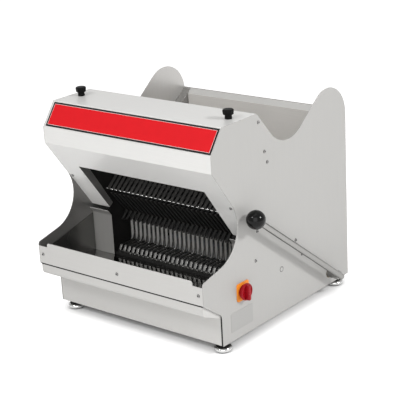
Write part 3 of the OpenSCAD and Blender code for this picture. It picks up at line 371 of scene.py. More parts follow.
# Lighter copy of the guard's satin for its upward faces: painted light
guard_lip = brushed("guard_lip", (0.78, 0.77, 0.75), 0.3, 0.34, "x", 0.05)
polished_cheek = brushed("polished_cheek", (0.16, 0.158, 0.153), 0.95, 0.25, "y", 0.05, 0.03)
mirror_tray = brushed("mirror_tray", (0.48, 0.475, 0.465), 1.0, 0.07, "y", 0.05, 0.015)
polished_flange = brushed("polished_flange", (0.27, 0.265, 0.255), 0.6, 0.26, "y", 0.06)
hopper_sheet = brushed("hopper_sheet", (0.74, 0.72, 0.69), 0.15, 0.4, "x", 0.04)
# Darker copy of the hopper sheet for the back plate's upward faces: painted shade
hopper_strip = brushed("hopper_strip", (0.52, 0.515, 0.50), 0.15, 0.4, "x", 0.03)
# Comb: one steel in a shaded and a lit copy, painted shade on the strips and bars and painted light on the
# noses
comb_top = brushed("comb_top", (0.045, 0.044, 0.042), 0.6, 0.4, "y", 0.1)
comb_nose = brushed("comb_nose", (0.27, 0.267, 0.258), 0.3, 0.34, "y", 0.08)
guide_bar = brushed("guide_bar", (0.17, 0.166, 0.16), 0.5, 0.34, "y", 0.1)
# Near-white copy for the guide strips' lips: a painted highlight
guide_tip = brushed("guide_tip", (0.97, 0.965, 0.95), 0.9, 0.2, "y", 0.03)
machined_frame = brushed("machined_frame", (0.5, 0.5, 0.5), 0.9, 0.35, "z", 0.08)
# The blades' finishes carry the painted shade above a height
ground_blade = brushed("ground_blade", (0.90, 0.89, 0.865), 0.2, 0.35, "z", 0.06, shade=BLADE_PAINTED_SHADE)
honed_edge = brushed("honed_edge", (0.14, 0.138, 0.134), 0.3, 0.3, "z", 0.04, shade=BLADE_PAINTED_SHADE)
bright_chrome = brushed("bright_chrome", (0.60, 0.60, 0.595), 1.0, 0.1, "y", 0.03, 0.03)
tube_chrome = brushed("tube_chrome", (0.28, 0.276, 0.268), 1.0, 0.2, "y", 0.03, 0.03, rim=0.5)
zinc_screw = brushed("zinc_screw", (0.36, 0.355, 0.345), 0.3, 0.4, "y", 0.08)
plate_foil = brushed("plate_foil", (0.365, 0.361, 0.352), 0.1, 0.45, "y", 0.03)
bearing_bronze = brushed("bearing_bronze", (0.20, 0.165, 0.11), 0.8, 0.35, "x", 0.1)
# Near-black for recesses: painted shade in the screws' sockets, at their rims and in the plug's groove
dark_recess = moulded("dark_recess", (0.02, 0.02, 0.02), 0.6)
gloss_black = moulded("gloss_black", (0.003, 0.003, 0.003), 0.08, 0.17, 0.0001, 0.02)
knob_black = moulded("knob_black", (0.004, 0.004, 0.004), 0.42, 0.08)
fin_black = moulded("fin_black", (0.014, 0.0135, 0.013), 0.5, 0.25)
# Lighter copy of the fins' black for their front edges: a painted highlight
worn_fin_edge = moulded("worn_fin_edge", (0.035, 0.034, 0.032), 0.45, 0.25)
label_ink_black = ink("label_ink_black", (0.012, 0.011, 0.011), 0.2)
label_ink_red = ink("label_ink_red", (0.70, 0.012, 0.018), 0.1)
label_ink_pale = ink("label_ink_pale", (0.80, 0.70, 0.68), 0.2)
switch_orange = moulded("switch_orange", (0.84, 0.27, 0.025), 0.4, 0.2)
handle_red = moulded("handle_red", (0.32, 0.005, 0.011), 0.28, 0.18)
soft_rubber = moulded("soft_rubber", (0.012, 0.012, 0.012), 0.7, 0.2, 0.0004, 0.3)
gland_nylon = moulded("gland_nylon", (0.03, 0.03, 0.032), 0.5)
cast_grey = cast("cast_grey", (0.22, 0.235, 0.25), 0.5)

# Finishes of the nodes that keep their CAD shape
DRESS = {
    inner_sheet: ["base_plate", "drawer_runners", "switch_box"],
    machined_frame: [
        "beams_a", "beams_b", "side_posts_a", "side_posts_b", "con_rod_a", "con_rod_b", "pusher_arms",
        "guide_rods", "rod_brackets", "crankshaft", "crank_pulley", "motor_pulley", "feed_shaft",
        "foot_studs",
    ],
    bearing_bronze: ["shaft_bushes"],
    fin_black: ["pusher_spine", "passage_liner"],
    soft_rubber: ["edge_seals", "drive_belt"],
    gland_nylon: ["cable_gland", "switch_body"],
    cast_grey: ["motor_body", "crank_bearings"],
}
for material, names in DRESS.items():
    for name in names:
        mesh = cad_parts[name].data
        mesh.materials.clear()
        mesh.materials.append(material)


# Building

# Distance in metres at which two corners are one
WELD = 2e-6


def bake(obj):
    """Leaves an object with the finished mesh of its modifiers and no modifier."""
    graph = bpy.context.evaluated_depsgraph_get()
    mesh = bpy.data.meshes.new_from_object(
        obj.evaluated_get(graph), preserve_all_data_layers=True, depsgraph=graph)
    obj.modifiers.clear()
    obj.data = mesh
    mesh.name = obj.name


def settle(obj, body, replaced=()):
    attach(obj, body)
    if replaced:
        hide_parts(*replaced)


def new_object(name, bm, finishes, smooth):
    """An object from a bmesh, shaded smooth up to an angle in degrees."""
    mesh = bpy.data.meshes.new(name)
    bm.to_mesh(mesh)
    bm.free()
    for finish in finishes:
        mesh.materials.append(finish)
    mesh.shade_smooth()
    mesh.set_sharp_from_angle(angle=radians(smooth))
    obj = bpy.data.objects.new(name, mesh)
    scene.collection.objects.link(obj)
    return obj


def add(name, bm, finishes, body, replaced=()):
    """A finished piece from a bmesh, with even shading on its rounded edges."""
    obj = new_object(name, bm, finishes, smooth=40)
    weigh = obj.modifiers.new("even_shading", "WEIGHTED_NORMAL")
    weigh.keep_sharp = True
    bake(obj)
    settle(obj, body, replaced)


def welded(node):
    """A CAD node's mesh with its doubles merged and its flat faces joined."""
    bm = bmesh.new()
    bm.from_mesh(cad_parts[node].data)
    bmesh.ops.remove_doubles(bm, verts=bm.verts, dist=WELD)
    bmesh.ops.dissolve_limit(bm, angle_limit=radians(0.5), verts=bm.verts, edges=bm.edges)
    bm.normal_update()
    return bm


def ease(bm, width, turn=25, segments=2, where=None):
    """Rounds the edges that turn by more than an angle, and returns the new faces."""
    edges = [e for e in bm.edges if len(e.link_faces) == 2 and e.calc_face_angle(0) > radians(turn)]
    if where:
        edges = [e for e in edges if where(e)]
    made = bmesh.ops.bevel(bm, geom=edges, offset=width * MM, segments=segments, profile=0.5,
                           affect="EDGES", clamp_overlap=True)
    bm.normal_update()
    return made["faces"]


def sheet(node, finishes, width=0.4, second=None, body="root"):
    """A sheet-metal node with eased edges; second tells whether a face takes the second finish."""
    bm = welded(node)
    if second:
        for face in bm.faces:
            face.material_index = int(second(face))
    ease(bm, width)
    add(node + "_sheet", bm, finishes, body, [node])


def prism(outline, x0, x1):
    """An outline in depth and height, drawn out across the machine."""
    bm = bmesh.new()
    ends = [[bm.verts.new(at(x, y, z)) for y, z in outline] for x in (x0, x1)]
    count = len(outline)
    bm.faces.new(ends[0])
    bm.faces.new(reversed(ends[1]))
    for i in range(count):
        k = (i + 1) % count
        bm.faces.new((ends[0][i], ends[1][i], ends[1][k], ends[0][k]))
    bmesh.ops.recalc_face_normals(bm, faces=bm.faces)
    return bm


def crossbar(depths, heights, half):
    """A square bar across the machine, between two depths and two heights."""
    (y0, y1), (z0, z1) = depths, heights
    return prism([(y0, z0), (y1, z0), (y1, z1), (y0, z1)], -half, half)


def lathe(profile, place, axis, steps=48, lobes=0, depth=0.0):
    """A turned form: radii and heights in millimetres along an axis.

    Lobes wave the radii that have a third value, the share of the lobes' depth.
    """
    bm = bmesh.new()
    turn = Vector(axis).to_track_quat("Z", "Y").to_matrix()
    rings = []
    for radius, height, *wave in profile:
        ring = []
        for k in range(steps if radius else 1):
            angle = 2 * pi * k / steps
            r = radius + (depth * wave[0] * cos(lobes * angle) if wave else 0)
            ring.append(bm.verts.new(place + turn @ Vector((r * cos(angle), r * sin(angle), height)) * MM))
        rings.append(ring)
    for a, b in zip(rings, rings[1:]):
        for k in range(steps):
            corners = [a[k % len(a)], a[(k + 1) % len(a)], b[(k + 1) % len(b)], b[k % len(b)]]
            corners = list(dict.fromkeys(corners))
            if len(corners) > 2:
                bm.faces.new(corners)
    bmesh.ops.recalc_face_normals(bm, faces=bm.faces)
    return bm


def rounded(corners, steps=6):
    """An open path of points; each corner between the ends has its radius as a third value."""
    path = [Vector(corners[0][:2])]
    for before, here, after in zip(corners, corners[1:], corners[2:]):
        p, r = Vector(here[:2]), here[2]
        u, v = (Vector(before[:2]) - p).normalized(), (Vector(after[:2]) - p).normalized()
        half = acos(u.dot(v)) / 2
        middle = p + (u + v).normalized() * r / sin(half)
        start, end = (p + way * r * cos(half) / sin(half) - middle for way in (u, v))
        swing = atan2(start.x * end.y - start.y * end.x, start.dot(end))
        path += [middle + Matrix.Rotation(swing * i / steps, 2) @ start for i in range(steps + 1)]
    return path + [Vector(corners[-1][:2])]


def about_shaft(radius, start, end, steps):
    """Points on an arc about the lever shaft; angles count upwards from the front."""
    angles = [start + (end - start) * i / steps for i in range(steps + 1)]
    return [PIVOT + radius * Vector((-cos(angle), sin(angle))) for angle in angles]


def thick(path, thickness):
    """A folded strip: a path and its copy to the right."""
    other = []
    for i, p in enumerate(path):
        way = (path[min(i + 1, len(path) - 1)] - path[max(i - 1, 0)]).normalized()
        other.append(p + Vector((way.y, -way.x)) * thickness)
    return [tuple(p) for p in path + other[::-1]]


# Copies by geometry nodes


def start_tree(name, kinds):
    """A node group with a shape, named inputs and copies as its output, and the inputs' identifiers."""
    tree = bpy.data.node_groups.new(name, "GeometryNodeTree")
    tree.interface.new_socket("Shape", in_out="INPUT", socket_type="NodeSocketGeometry")
    kinds = {**kinds, "Finish": "Material", "Edge Finish": "Material"}
    sockets = {
        label: tree.interface.new_socket(label, in_out="INPUT", socket_type="NodeSocket" + kind).identifier
        for label, kind in kinds.items()
    }
    tree.interface.new_socket("Copies", in_out="OUTPUT", socket_type="NodeSocketGeometry")
    return tree, sockets


def attribute(nodes, name, kind):
    node = nodes.new("GeometryNodeInputNamedAttribute")
    node.data_type = kind
    node.inputs["Name"].default_value = name
    return node.outputs["Attribute"]


def end_tree(tree, given, copies):
    """Makes the copies real and gives them a finish, and another one to the faces marked as edges."""
    nodes, links = tree.nodes, tree.links
    real = nodes.new("GeometryNodeRealizeInstances")
    whole, edges = nodes.new("GeometryNodeSetMaterial"), nodes.new("GeometryNodeSetMaterial")
    result = nodes.new("NodeGroupOutput")
    links.new(copies.outputs["Instances"], real.inputs["Geometry"])
    links.new(real.outputs["Geometry"], whole.inputs["Geometry"])
    links.new(given.outputs["Finish"], whole.inputs["Material"])
    links.new(whole.outputs["Geometry"], edges.inputs["Geometry"])
    links.new(attribute(nodes, "edge", "BOOLEAN"), edges.inputs["Selection"])
    links.new(given.outputs["Edge Finish"], edges.inputs["Material"])
    links.new(edges.outputs["Geometry"], result.inputs["Copies"])


def make_row_tree():
    """Copies of the modified mesh in a row across the machine."""
    tree, sockets = start_tree("strip_row", {"Count": "Int", "First": "Float", "Pitch": "Float"})
    nodes, links = tree.nodes, tree.links
    given = nodes.new("NodeGroupInput")
    line = nodes.new("GeometryNodeMeshLine")
    line.mode = "OFFSET"
    links.new(given.outputs["Count"], line.inputs["Count"])
    for label, socket in (("First", "Start Location"), ("Pitch", "Offset")):
        vector = nodes.new("ShaderNodeCombineXYZ")
        links.new(given.outputs[label], vector.inputs["X"])
        links.new(vector.outputs[0], line.inputs[socket])
    copies = nodes.new("GeometryNodeInstanceOnPoints")
    links.new(line.outputs["Mesh"], copies.inputs["Points"])
    links.new(given.outputs["Shape"], copies.inputs["Instance"])
    end_tree(tree, given, copies)
    return tree, sockets


def make_scatter_tree():
    """A turned form on each point of the modified mesh, standing along the point's facing vector."""
    tree, sockets = start_tree("scatter", {"Form": "Object"})
    nodes, links = tree.nodes, tree.links
    given = nodes.new("NodeGroupInput")
    form = nodes.new("GeometryNodeObjectInfo")
    links.new(given.outputs["Form"], form.inputs["Object"])
    align = nodes.new("FunctionNodeAlignRotationToVector")
    align.axis = "Z"
    links.new(attribute(nodes, "facing", "FLOAT_VECTOR"), align.inputs["Vector"])
    copies = nodes.new("GeometryNodeInstanceOnPoints")
    links.new(given.outputs["Shape"], copies.inputs["Points"])
    links.new(form.outputs["Geometry"], copies.inputs["Instance"])
    links.new(align.outputs["Rotation"], copies.inputs["Rotation"])
    end_tree(tree, given, copies)
    return tree, sockets


row_tree = make_row_tree()
scatter_tree = make_scatter_tree()


def copy_out(obj, tree, values):
    """Runs a tree on an object with values for its named inputs, and keeps the resulting mesh."""
    group, sockets = tree
    nodes = obj.modifiers.new(group.name, "NODES")
    nodes.node_group = group
    for label, value in values.items():
        nodes[sockets[label]] = value
    bake(obj)


def mark(bm, marked):
    """Writes which faces take the edge finish into the mesh."""
    bm.faces.index_update()
    numbers = {face.index for face in marked}
    layer = bm.faces.layers.bool.new("edge")
    for face in bm.faces:
        face[layer] = face.index in numbers


def row(name, bm, marked, line, finish, edge_finish, body, replaced):
    """A row of copies of one strip, drawn at the machine's middle; the marked faces take the edge finish.

    The line gives the number of copies, the place of the first and the pitch.
    """
    mark(bm, marked)
    obj = new_object(name, bm, [finish], smooth=30)
    count, first, pitch = line
    copy_out(obj, row_tree, {"Count": count, "First": first * MM, "Pitch": pitch * MM,
                             "Finish": finish, "Edge Finish": edge_finish})
    settle(obj, body, replaced)


def scatter(name, places, form, marked, finish, edge_finish, replaced):
    """Copies of a form, drawn at the origin along z, at places with their facing directions."""
    mark(form, marked)
    pattern = new_object(name + "_form", form, [finish], smooth=40)
    points = bpy.data.meshes.new(name)
    points.from_pydata([place for place, _ in places], [], [])
    facing = points.attributes.new("facing", "FLOAT_VECTOR", "POINT")
    facing.data.foreach_set("vector", [c for _, way in places for c in way])
    obj = bpy.data.objects.new(name, points)
    scene.collection.objects.link(obj)
    copy_out(obj, scatter_tree, {"Form": pattern, "Finish": finish, "Edge Finish": edge_finish})
    bpy.data.objects.remove(pattern)
    settle(obj, "root", replaced)


# Comb, guide, fins and blades

# Strips of the bed and the guide, and fins: number, pitch and first place
STRIPS = 27
PITCH = 16.0
FIRST = -PITCH * (STRIPS - 1) / 2
STRIP_LINE = (STRIPS, FIRST, PITCH)
STRIP_W = 8.5
STRIP_T = 3.0
STRIP_EASE = 0.7
# Turn in degrees from which a strip's edge is eased, above the turns of its folds
STRIP_TURN = 50
# Share by which a face leans to the front to count as a front face
FRONTAL = 0.25
TIP_FRONTAL = 0.3

# Bed strips: foot, rounded nose, flat, and an arc about the lever shaft up to the hopper's bed
BED_FOOT = (169, 123)
BED_NOSE_Y = 184
BED_NOSE_R = 6
BED_Z = 149.0
BED_R = 270.0
BED_END_Y = 271.4
BED_ARC_STEPS = 6
# The foot keeps the painted shade up to this share of its length; the nose takes painted light above a
# height and before a depth
SHADED_FOOT = 0.55
NOSE_BRIGHT_Z = 134
NOSE_BRIGHT_Y = 200
# Bars that carry the bed strips; the rear one's turn is half its width about the lever shaft, in degrees
BED_BAR_HALF = 283
FRONT_BAR_Y = (168, 181)
FRONT_BAR_Z = (119.8, 123)
FRONT_BAR_EASE = 0.5
REAR_BAR_D = 12
REAR_BAR_SEAT = 0.3
REAR_BAR_TURN = 1.2
REAR_BAR_STEPS = 4
REAR_BAR_EASE = 0.4

# Upper guide: lip, rounded nose and end of a strip, and the bar above
GUIDE_LIP = (143, 327)
GUIDE_NOSE = (150, 322, 4)
GUIDE_END = (266, 422.5)
GUIDE_TIP_Y = 149
GUIDE_BAR_Y = (260.5, 268.5)
GUIDE_BAR_Z = (420, 434)
GUIDE_BAR_HALF = 224
GUIDE_BAR_EASE = 0.8

# Pusher fin: depth and height of its corners
FIN_OUTLINE = [(266, 325), (157, 311), (215, 242), (194, 222), (266, 262)]
FIN_T = 8
FIN_EASE = 1.0
FIN_DOWNWARD = -0.1

# Blades: ends of the body and of its tabs, depths of the scalloped edge, the shoulder and the back
BLADES = 14
BLADE_LOW = 150.0
BLADE_HIGH = 440.0
TAB_LOW = 132.0
TAB_HIGH = 458.0
TAB_D = 5.6
BLADE_FRONT = 235.0
BLADE_SHOULDER = 237.6
BLADE_REAR = 247.0
BLADE_HALF_T = 0.5
EDGE_HALF_T = 0.08
TOOTH_H = 6.0
TOOTH_D = 0.6
TOOTH_STEPS = 4
# Sides of a blade's section that are honed, counted from its back
HONED_SIDES = (2, 3, 4)


def strip(path, thickness):
    """One folded strip at the machine's middle, with eased edges."""
    bm = prism(thick(path, thickness), -STRIP_W / 2, STRIP_W / 2)
    ease(bm, STRIP_EASE, STRIP_TURN)
    return bm


def make_bed_comb():
    flat_angle = asin((BED_Z - PIVOT.y) / BED_R)
    end_angle = acos((PIVOT.x - BED_END_Y) / BED_R)
    flat_end = PIVOT.x - BED_R * cos(flat_angle)
    path = rounded([BED_FOOT, (BED_NOSE_Y, BED_Z, BED_NOSE_R), (flat_end, BED_Z)])
    path.insert(1, path[0].lerp(path[1], SHADED_FOOT))
    path += about_shaft(BED_R, flat_angle, end_angle, BED_ARC_STEPS)[1:]
    bm = strip(path, STRIP_T)
    # Front faces of the nose above a height and before a depth take the painted light; the rest and both
    # bars take the painted shade
    limit = at(0, NOSE_BRIGHT_Y, NOSE_BRIGHT_Z)
    nose = set()
    for face in bm.faces:
        middle = face.calc_center_median()
        if face.normal.y < -FRONTAL and middle.z > limit.z and middle.y < limit.y:
            nose.add(face)
    row("bed_comb_strips", bm, nose, STRIP_LINE, comb_top, comb_nose, "root", ["bed_comb"])
    front_bar = crossbar(FRONT_BAR_Y, FRONT_BAR_Z, BED_BAR_HALF)
    ease(front_bar, FRONT_BAR_EASE)
    add("bed_comb_front_bar", front_bar, [comb_top], "root")
    near, far = end_angle - radians(REAR_BAR_TURN), end_angle + radians(REAR_BAR_TURN)
    top = BED_R - STRIP_T
    section = about_shaft(top - REAR_BAR_D, near, far, REAR_BAR_STEPS)
    section += about_shaft(top - REAR_BAR_SEAT, far, end_angle, REAR_BAR_STEPS)
    section += about_shaft(top, end_angle, near, REAR_BAR_STEPS)
    rear_bar = prism([tuple(p) for p in section], -BED_BAR_HALF, BED_BAR_HALF)
    bmesh.ops.remove_doubles(rear_bar, verts=rear_bar.verts, dist=WELD)
    ease(rear_bar, REAR_BAR_EASE, STRIP_TURN)
    add("bed_comb_rear_bar", rear_bar, [comb_top], "root")


def make_upper_guide():
    bm = strip(rounded([GUIDE_LIP, GUIDE_NOSE, GUIDE_END]), -STRIP_T)
    # Front faces of the lips take the painted highlight
    limit = at(0, GUIDE_TIP_Y, 0).y
    tips = {f for f in bm.faces if f.normal.y < -TIP_FRONTAL and f.calc_center_median().y < limit}
    row("upper_guide_strips", bm, tips, STRIP_LINE, guide_bar, guide_tip, "root",
        ["upper_guide"])
    bar = crossbar(GUIDE_BAR_Y, GUIDE_BAR_Z, GUIDE_BAR_HALF)
    ease(bar, GUIDE_BAR_EASE)
    add("upper_guide_crossbar", bar, [guide_bar], "root")


def make_fins():
    bm = prism(FIN_OUTLINE, -FIN_T / 2, FIN_T / 2)
    eased = ease(bm, FIN_EASE, segments=1)
    # Eased edges that face the front and not downwards take the painted highlight
    lit_edges = {f for f in eased if f.normal.y < -TIP_FRONTAL and f.normal.z > FIN_DOWNWARD}
    row("pusher_fin_row", bm, lit_edges, STRIP_LINE, fin_black, worn_fin_edge, "feed",
        ["pusher_fins"])


def make_blades(name, body, node, tab_y, first):
    """Serrated blades: a body with a scalloped, tapered front edge, and a narrow tab at each end."""
    count = int((BLADE_HIGH - BLADE_LOW) / TOOTH_H) * TOOTH_STEPS
    bm = bmesh.new()
    rings = []
    for i in range(count + 1):
        z = BLADE_LOW + (BLADE_HIGH - BLADE_LOW) * i / count
        edge = BLADE_FRONT + TOOTH_D * abs(sin(pi * i / TOOTH_STEPS))
        ring = [(BLADE_HALF_T, BLADE_REAR), (-BLADE_HALF_T, BLADE_REAR), (-BLADE_HALF_T, BLADE_SHOULDER),
                (-EDGE_HALF_T, edge), (EDGE_HALF_T, edge), (BLADE_HALF_T, BLADE_SHOULDER)]
        rings.append([bm.verts.new(at(x, y, z)) for x, y in ring])
    honed = set()
    for a, b in zip(rings, rings[1:]):
        sides = len(a)
        for k in range(sides):
            face = bm.faces.new((a[k], a[(k + 1) % sides], b[(k + 1) % sides], b[k]))
            if k in HONED_SIDES:
                honed.add(face)
    bm.faces.new(rings[0])
    bm.faces.new(rings[-1])
    tab = [(-BLADE_HALF_T, tab_y[0]), (BLADE_HALF_T, tab_y[0]), (BLADE_HALF_T, tab_y[1]),
           (-BLADE_HALF_T, tab_y[1])]
    for heights in ((TAB_LOW, BLADE_LOW), (BLADE_HIGH, TAB_HIGH)):
        low, high = ([bm.verts.new(at(x, y, z)) for x, y in tab] for z in heights)
        bm.faces.new(low)
        bm.faces.new(high)
        for k in range(len(tab)):
            after = (k + 1) % len(tab)
            bm.faces.new((low[k], low[after], high[after], high[k]))
    bmesh.ops.recalc_face_normals(bm, faces=bm.faces)
    row(name, bm, honed, (BLADES, first, 2 * PITCH), ground_blade, honed_edge, body, [node])


make_bed_comb()
make_upper_guide()
make_fins()
FIRST_BLADE = FIRST - PITCH / 2
make_blades("front_blade_set", "blade_frame_a", "blades_a", (BLADE_FRONT, BLADE_FRONT + TAB_D), FIRST_BLADE)
make_blades("rear_blade_set", "blade_frame_b", "blades_b", (BLADE_REAR - TAB_D, BLADE_REAR),
            FIRST_BLADE + PITCH)


# Screws and feet

# Screw head: radius and height of its rings, from the rim to the bottom of the socket
SCREW_HEAD = [(4.5, 0), (4.5, 0.9), (4.1, 1.7), (3.3, 2.2), (2.4, 2.2), (2.1, 0.8), (0, 0.7)]
# Radii between which the head is bright; the rim and the socket take painted shade
SCREW_BRIGHT = (2.3, 4.2)
# Screws of a side panel, as shares of its depth and height
SIDE_SCREWS = ((0.3265, 0.961), (0.3622, 0.8237), (0.3793, 0.7729), (0.2891, 0.4847), (0.2704, 0.3542),
               (0.5731, 0.3525), (0.619, 0.2695))
# Screws of the cover's legs: the slope runs from the brow to the mouth
BROW_LOW_Z = 484
MOUTH_Y = 156
MOUTH_Z = 269
LEG_SCREW_X = 273
LEG_SCREW_SHARE = 0.523
# Screws of the rear panel, as shares of its height, and of the apron
REAR_SCREW_X = 262
REAR_PANEL_H = 508
REAR_SCREWS = (0.12, 0.53, 0.945)
APRON_Y = -58
APRON_SCREW_Z = 187
APRON_SCREWS_X = (-270, 0, 270)

# Foot: radius and height of its rings, its places, and the heights of its rubber pad and its neck
FOOT_PROFILE = [(0, 0), (18, 0), (20.5, 0.6), (23, 2.6), (24, 5.6), (23.7, 9), (22.2, 11.6), (18, 13.2),
                (12, 13.8), (11, 14.4), (11, 20), (0, 20)]
FEET_X = (-260, 260)
FEET_Y = (40, 556)
FOOT_PAD_H = 1.8
FOOT_NECK_Z = 13.2


def make_screws():
    places = []
    slope = (BROW_LOW_Z - MOUTH_Z) / MOUTH_Y
    leg_y = MOUTH_Y * LEG_SCREW_SHARE
    leg_way = tuple(Vector((0, -slope, -1)).normalized())
    for side in (-1, 1):
        for depth, height in SIDE_SCREWS:
            places.append((at(SIDE_X * side, REAR_Y * depth, ROOF_Z * height), (side, 0, 0)))
        places.append((at(LEG_SCREW_X * side, leg_y, BROW_LOW_Z - slope * leg_y), leg_way))
        for share in REAR_SCREWS:
            places.append((at(REAR_SCREW_X * side, REAR_Y, REAR_PANEL_H * share), (0, 1, 0)))
    places += [(at(x, APRON_Y, APRON_SCREW_Z), (0, -1, 0)) for x in APRON_SCREWS_X]
    form = lathe(SCREW_HEAD, Vector(), (0, 0, 1), steps=24)
    inner, outer = (radius * MM for radius in SCREW_BRIGHT)
    # The rim and the socket take the painted shade
    dark = {f for f in form.faces if not inner < f.calc_center_median().xy.length < outer}
    scatter("housing_screw_heads", places, form, dark, zinc_screw, dark_recess, ["housing_screws"])


def make_feet():
    form = lathe(FOOT_PROFILE, Vector(), (0, 0, 1), steps=56)
    rubber = {f for f in form.faces if not FOOT_PAD_H * MM <= f.calc_center_median().z <= FOOT_NECK_Z * MM}
    places = [(at(x, y, 0), (0, 0, 1)) for x in FEET_X for y in FEET_Y]
    scatter("turned_feet", places, form, rubber, bright_chrome, soft_rubber, ["feet"])


make_screws()
make_feet()


# Sheet metal

# Share by which a face leans to a side, or upwards, to take the second finish
SIDEWAYS = 0.5
LIP_UPWARD = 0.25
STRIP_UPWARD = 0.4
# Cover: what a face leans to the rear, to the rear and up, and down where it is an inner face
COVER_REARWARD = 0.5
COVER_REAR_UP = (0.3, -0.1)
COVER_DOWN = -0.9
# Side faces this near to the mid-plane belong to the cover's flanges
FLANGE_HALF = 250
# Fold of the apron: its height, the depth of the apron's face and the step behind it
FOLD_Z = 169
FOLD_FACE_Y = -57.5
FOLD_STEP = 0.5
# Distances in metres within which a corner lies on the fold, for the cut and for the step
CUT_MARGIN = 1e-6
FOLD_MARGIN = 1e-5
# Width of the pale line around the red label
LABEL_LINE = 1.1


def inner_side(side):
    return lambda face: face.normal.x * side < -SIDEWAYS


sheet("right_side_panel", [satin_panel, inner_sheet], width=0.5, second=inner_side(1))
sheet("left_side_panel", [satin_panel, inner_sheet], width=0.5, second=inner_side(-1))
sheet("base_front_panel", [satin_front], width=0.5)
sheet("rear_panel", [satin_front], width=0.5)
sheet("crumb_drawer", [satin_front], body="drawer")
sheet("outfeed_floor", [mirror_tray], width=0.3)
sheet("outfeed_cheeks", [polished_cheek], width=0.2)
# Guards: faces that lean upwards take the painted light
for side in ("left", "right"):
    sheet(side + "_post_guard", [guard_satin, guard_lip], width=0.35,
          second=lambda face: face.normal.z > LIP_UPWARD)
sheet("hopper_front_wall", [hopper_sheet], width=0.35)
sheet("hopper_bed", [hopper_sheet], width=0.5)
# Back plate: faces that lean upwards take the painted shade
sheet("hopper_back_plate", [hopper_sheet, hopper_strip], width=0.35,
      second=lambda face: face.normal.z > STRIP_UPWARD)
for side in ("left", "right"):
    sheet(side + "_inner_wall", [polished_flange], width=0.35)
sheet("rating_plate", [plate_foil], width=0.15)
sheet("lever_boss", [tube_chrome], width=0.8, body="feed")


def make_cover():
    """The cover, with the inside finish on its inner faces and on the flanges beside the cut-out."""
    bm = welded("top_cover")
    rear, up = COVER_REAR_UP
    for face in bm.faces:
        way = face.normal
        inside = way.y > COVER_REARWARD or way.y > rear and way.z > up or way.z < COVER_DOWN
        off_middle = abs(face.calc_center_median().x - at(0, 0, 0).x)
        flange = abs(way.x) > SIDEWAYS and off_middle < FLANGE_HALF * MM
        face.material_index = int(inside or flange)
    ease(bm, width=0.6)
    add("top_cover_sheet", bm, [satin_cover, inner_sheet], "root", ["top_cover"])


def make_apron():
    """The apron with a slight fold along its lower edge."""
    bm = welded("apron")
    face_y, fold = at(0, FOLD_FACE_Y, FOLD_Z).yz
    everything = bm.verts[:] + bm.edges[:] + bm.faces[:]
    bmesh.ops.bisect_plane(bm, geom=everything, plane_co=(0, 0, fold), plane_no=(0, 0, 1), dist=CUT_MARGIN)
    for vert in bm.verts:
        if vert.co.z < fold - FOLD_MARGIN and vert.co.y < face_y:
            vert.co.y += FOLD_STEP * MM
    bm.normal_update()
    ease(bm, width=0.4)
    add("apron_sheet", bm, [satin_front], "root", ["apron"])


def make_label():
    backing = welded("label_backing")
    ease(backing, width=0.2)
    add("label_backing_film", backing, [label_ink_black], "root", ["label_backing"])
    bm = welded("label_face")
    top = max(bm.faces, key=lambda f: f.calc_area() * (f.normal.z > 0))
    for face in bmesh.ops.inset_region(bm, faces=[top], thickness=LABEL_LINE * MM)["faces"]:
        face.material_index = 1
    add("label_face_film", bm, [label_ink_red, label_ink_pale], "root", ["label_face"])


make_cover()
make_apron()
make_label()


# Lever, knobs and switch

# Lever: place across the machine, lean in degrees, and the tube's rings along it from the shaft
LEVER_X = 319
LEVER_LEAN = 36.9
TUBE_PROFILE = [(0, -14), (6.2, -14), (6.4, -14.8), (7.5, -15), (8.25, -14.2), (8.25, 436), (8.25, 470),
                (0, 473)]
# Ball: collar, radius, place along the tube, angle of its opening and its parting line
COLLAR_PROFILE = [(8.3, 437.5), (11.5, 437.6), (12.4, 438.4), (12.6, 439.6)]
BALL_R = 25.0
BALL_AT = 463
BALL_OPENING = 29.5
BALL_STEPS = 39
PARTING_D = 0.25
PARTING_HALF_ANGLE = 0.03

# Cover knob: rings from the stud to the top; a third value is the ring's share of the lobes
KNOB_X = 250
KNOB_Y = 118
KNOB_PROFILE = [(0, -14), (3.4, -14), (4, -13.2), (4, 0.2), (8.9, 0.2), (9.4, 0.8), (8.8, 9.4), (9.6, 10.6),
                (11.8, 11, 0.6), (12.9, 12.2, 1), (13.9, 19, 1), (14, 22.6, 1), (13.3, 24, 0.9),
                (11.6, 24.8, 0.5), (8, 25), (0, 25)]
KNOB_LOBES = 7
LOBE_D = 0.5

# Switch plate: depths of its upright edges, radius of its corners and outer face from this far out
PLATE_Y = (74, 122)
PLATE_CORNER_R = 5.0
PLATE_FACE_X = 287.5
PLATE_EASE = 0.8
# Turn in degrees from which an edge of the plate is rounded, and how near an edge lies to its corner
PLATE_TURN = 60
CORNER_NEAR = 1
# Switch handle: disc about a seat, and a grip whose rings have a share of its rise, half width and reach
SWITCH_SEAT = (288.2, 98, 148)
DISC_PROFILE = [(0, -5), (4, -5), (4, 0), (18, 0), (18, 4.6), (20.4, 5.4), (22.1, 6.6), (22.5, 7.8),
                (22.5, 10.8), (21.8, 12.4), (20.4, 13), (19.2, 12.2), (18.2, 9.6), (0, 9.0)]
GRIP_RINGS = [(0, 5.2, 21.0), (0.3, 5.4, 21.6), (0.7, 4.8, 21.4), (0.92, 4.2, 20.6), (1.0, 3.2, 19.0)]
GRIP_FOOT = 9.0
GRIP_RISE = 13.0
GRIP_STEPS = 32
# The lower the power, the squarer the grip's plan across and along
GRIP_SIDE_POWER = 0.35
GRIP_END_POWER = 0.55

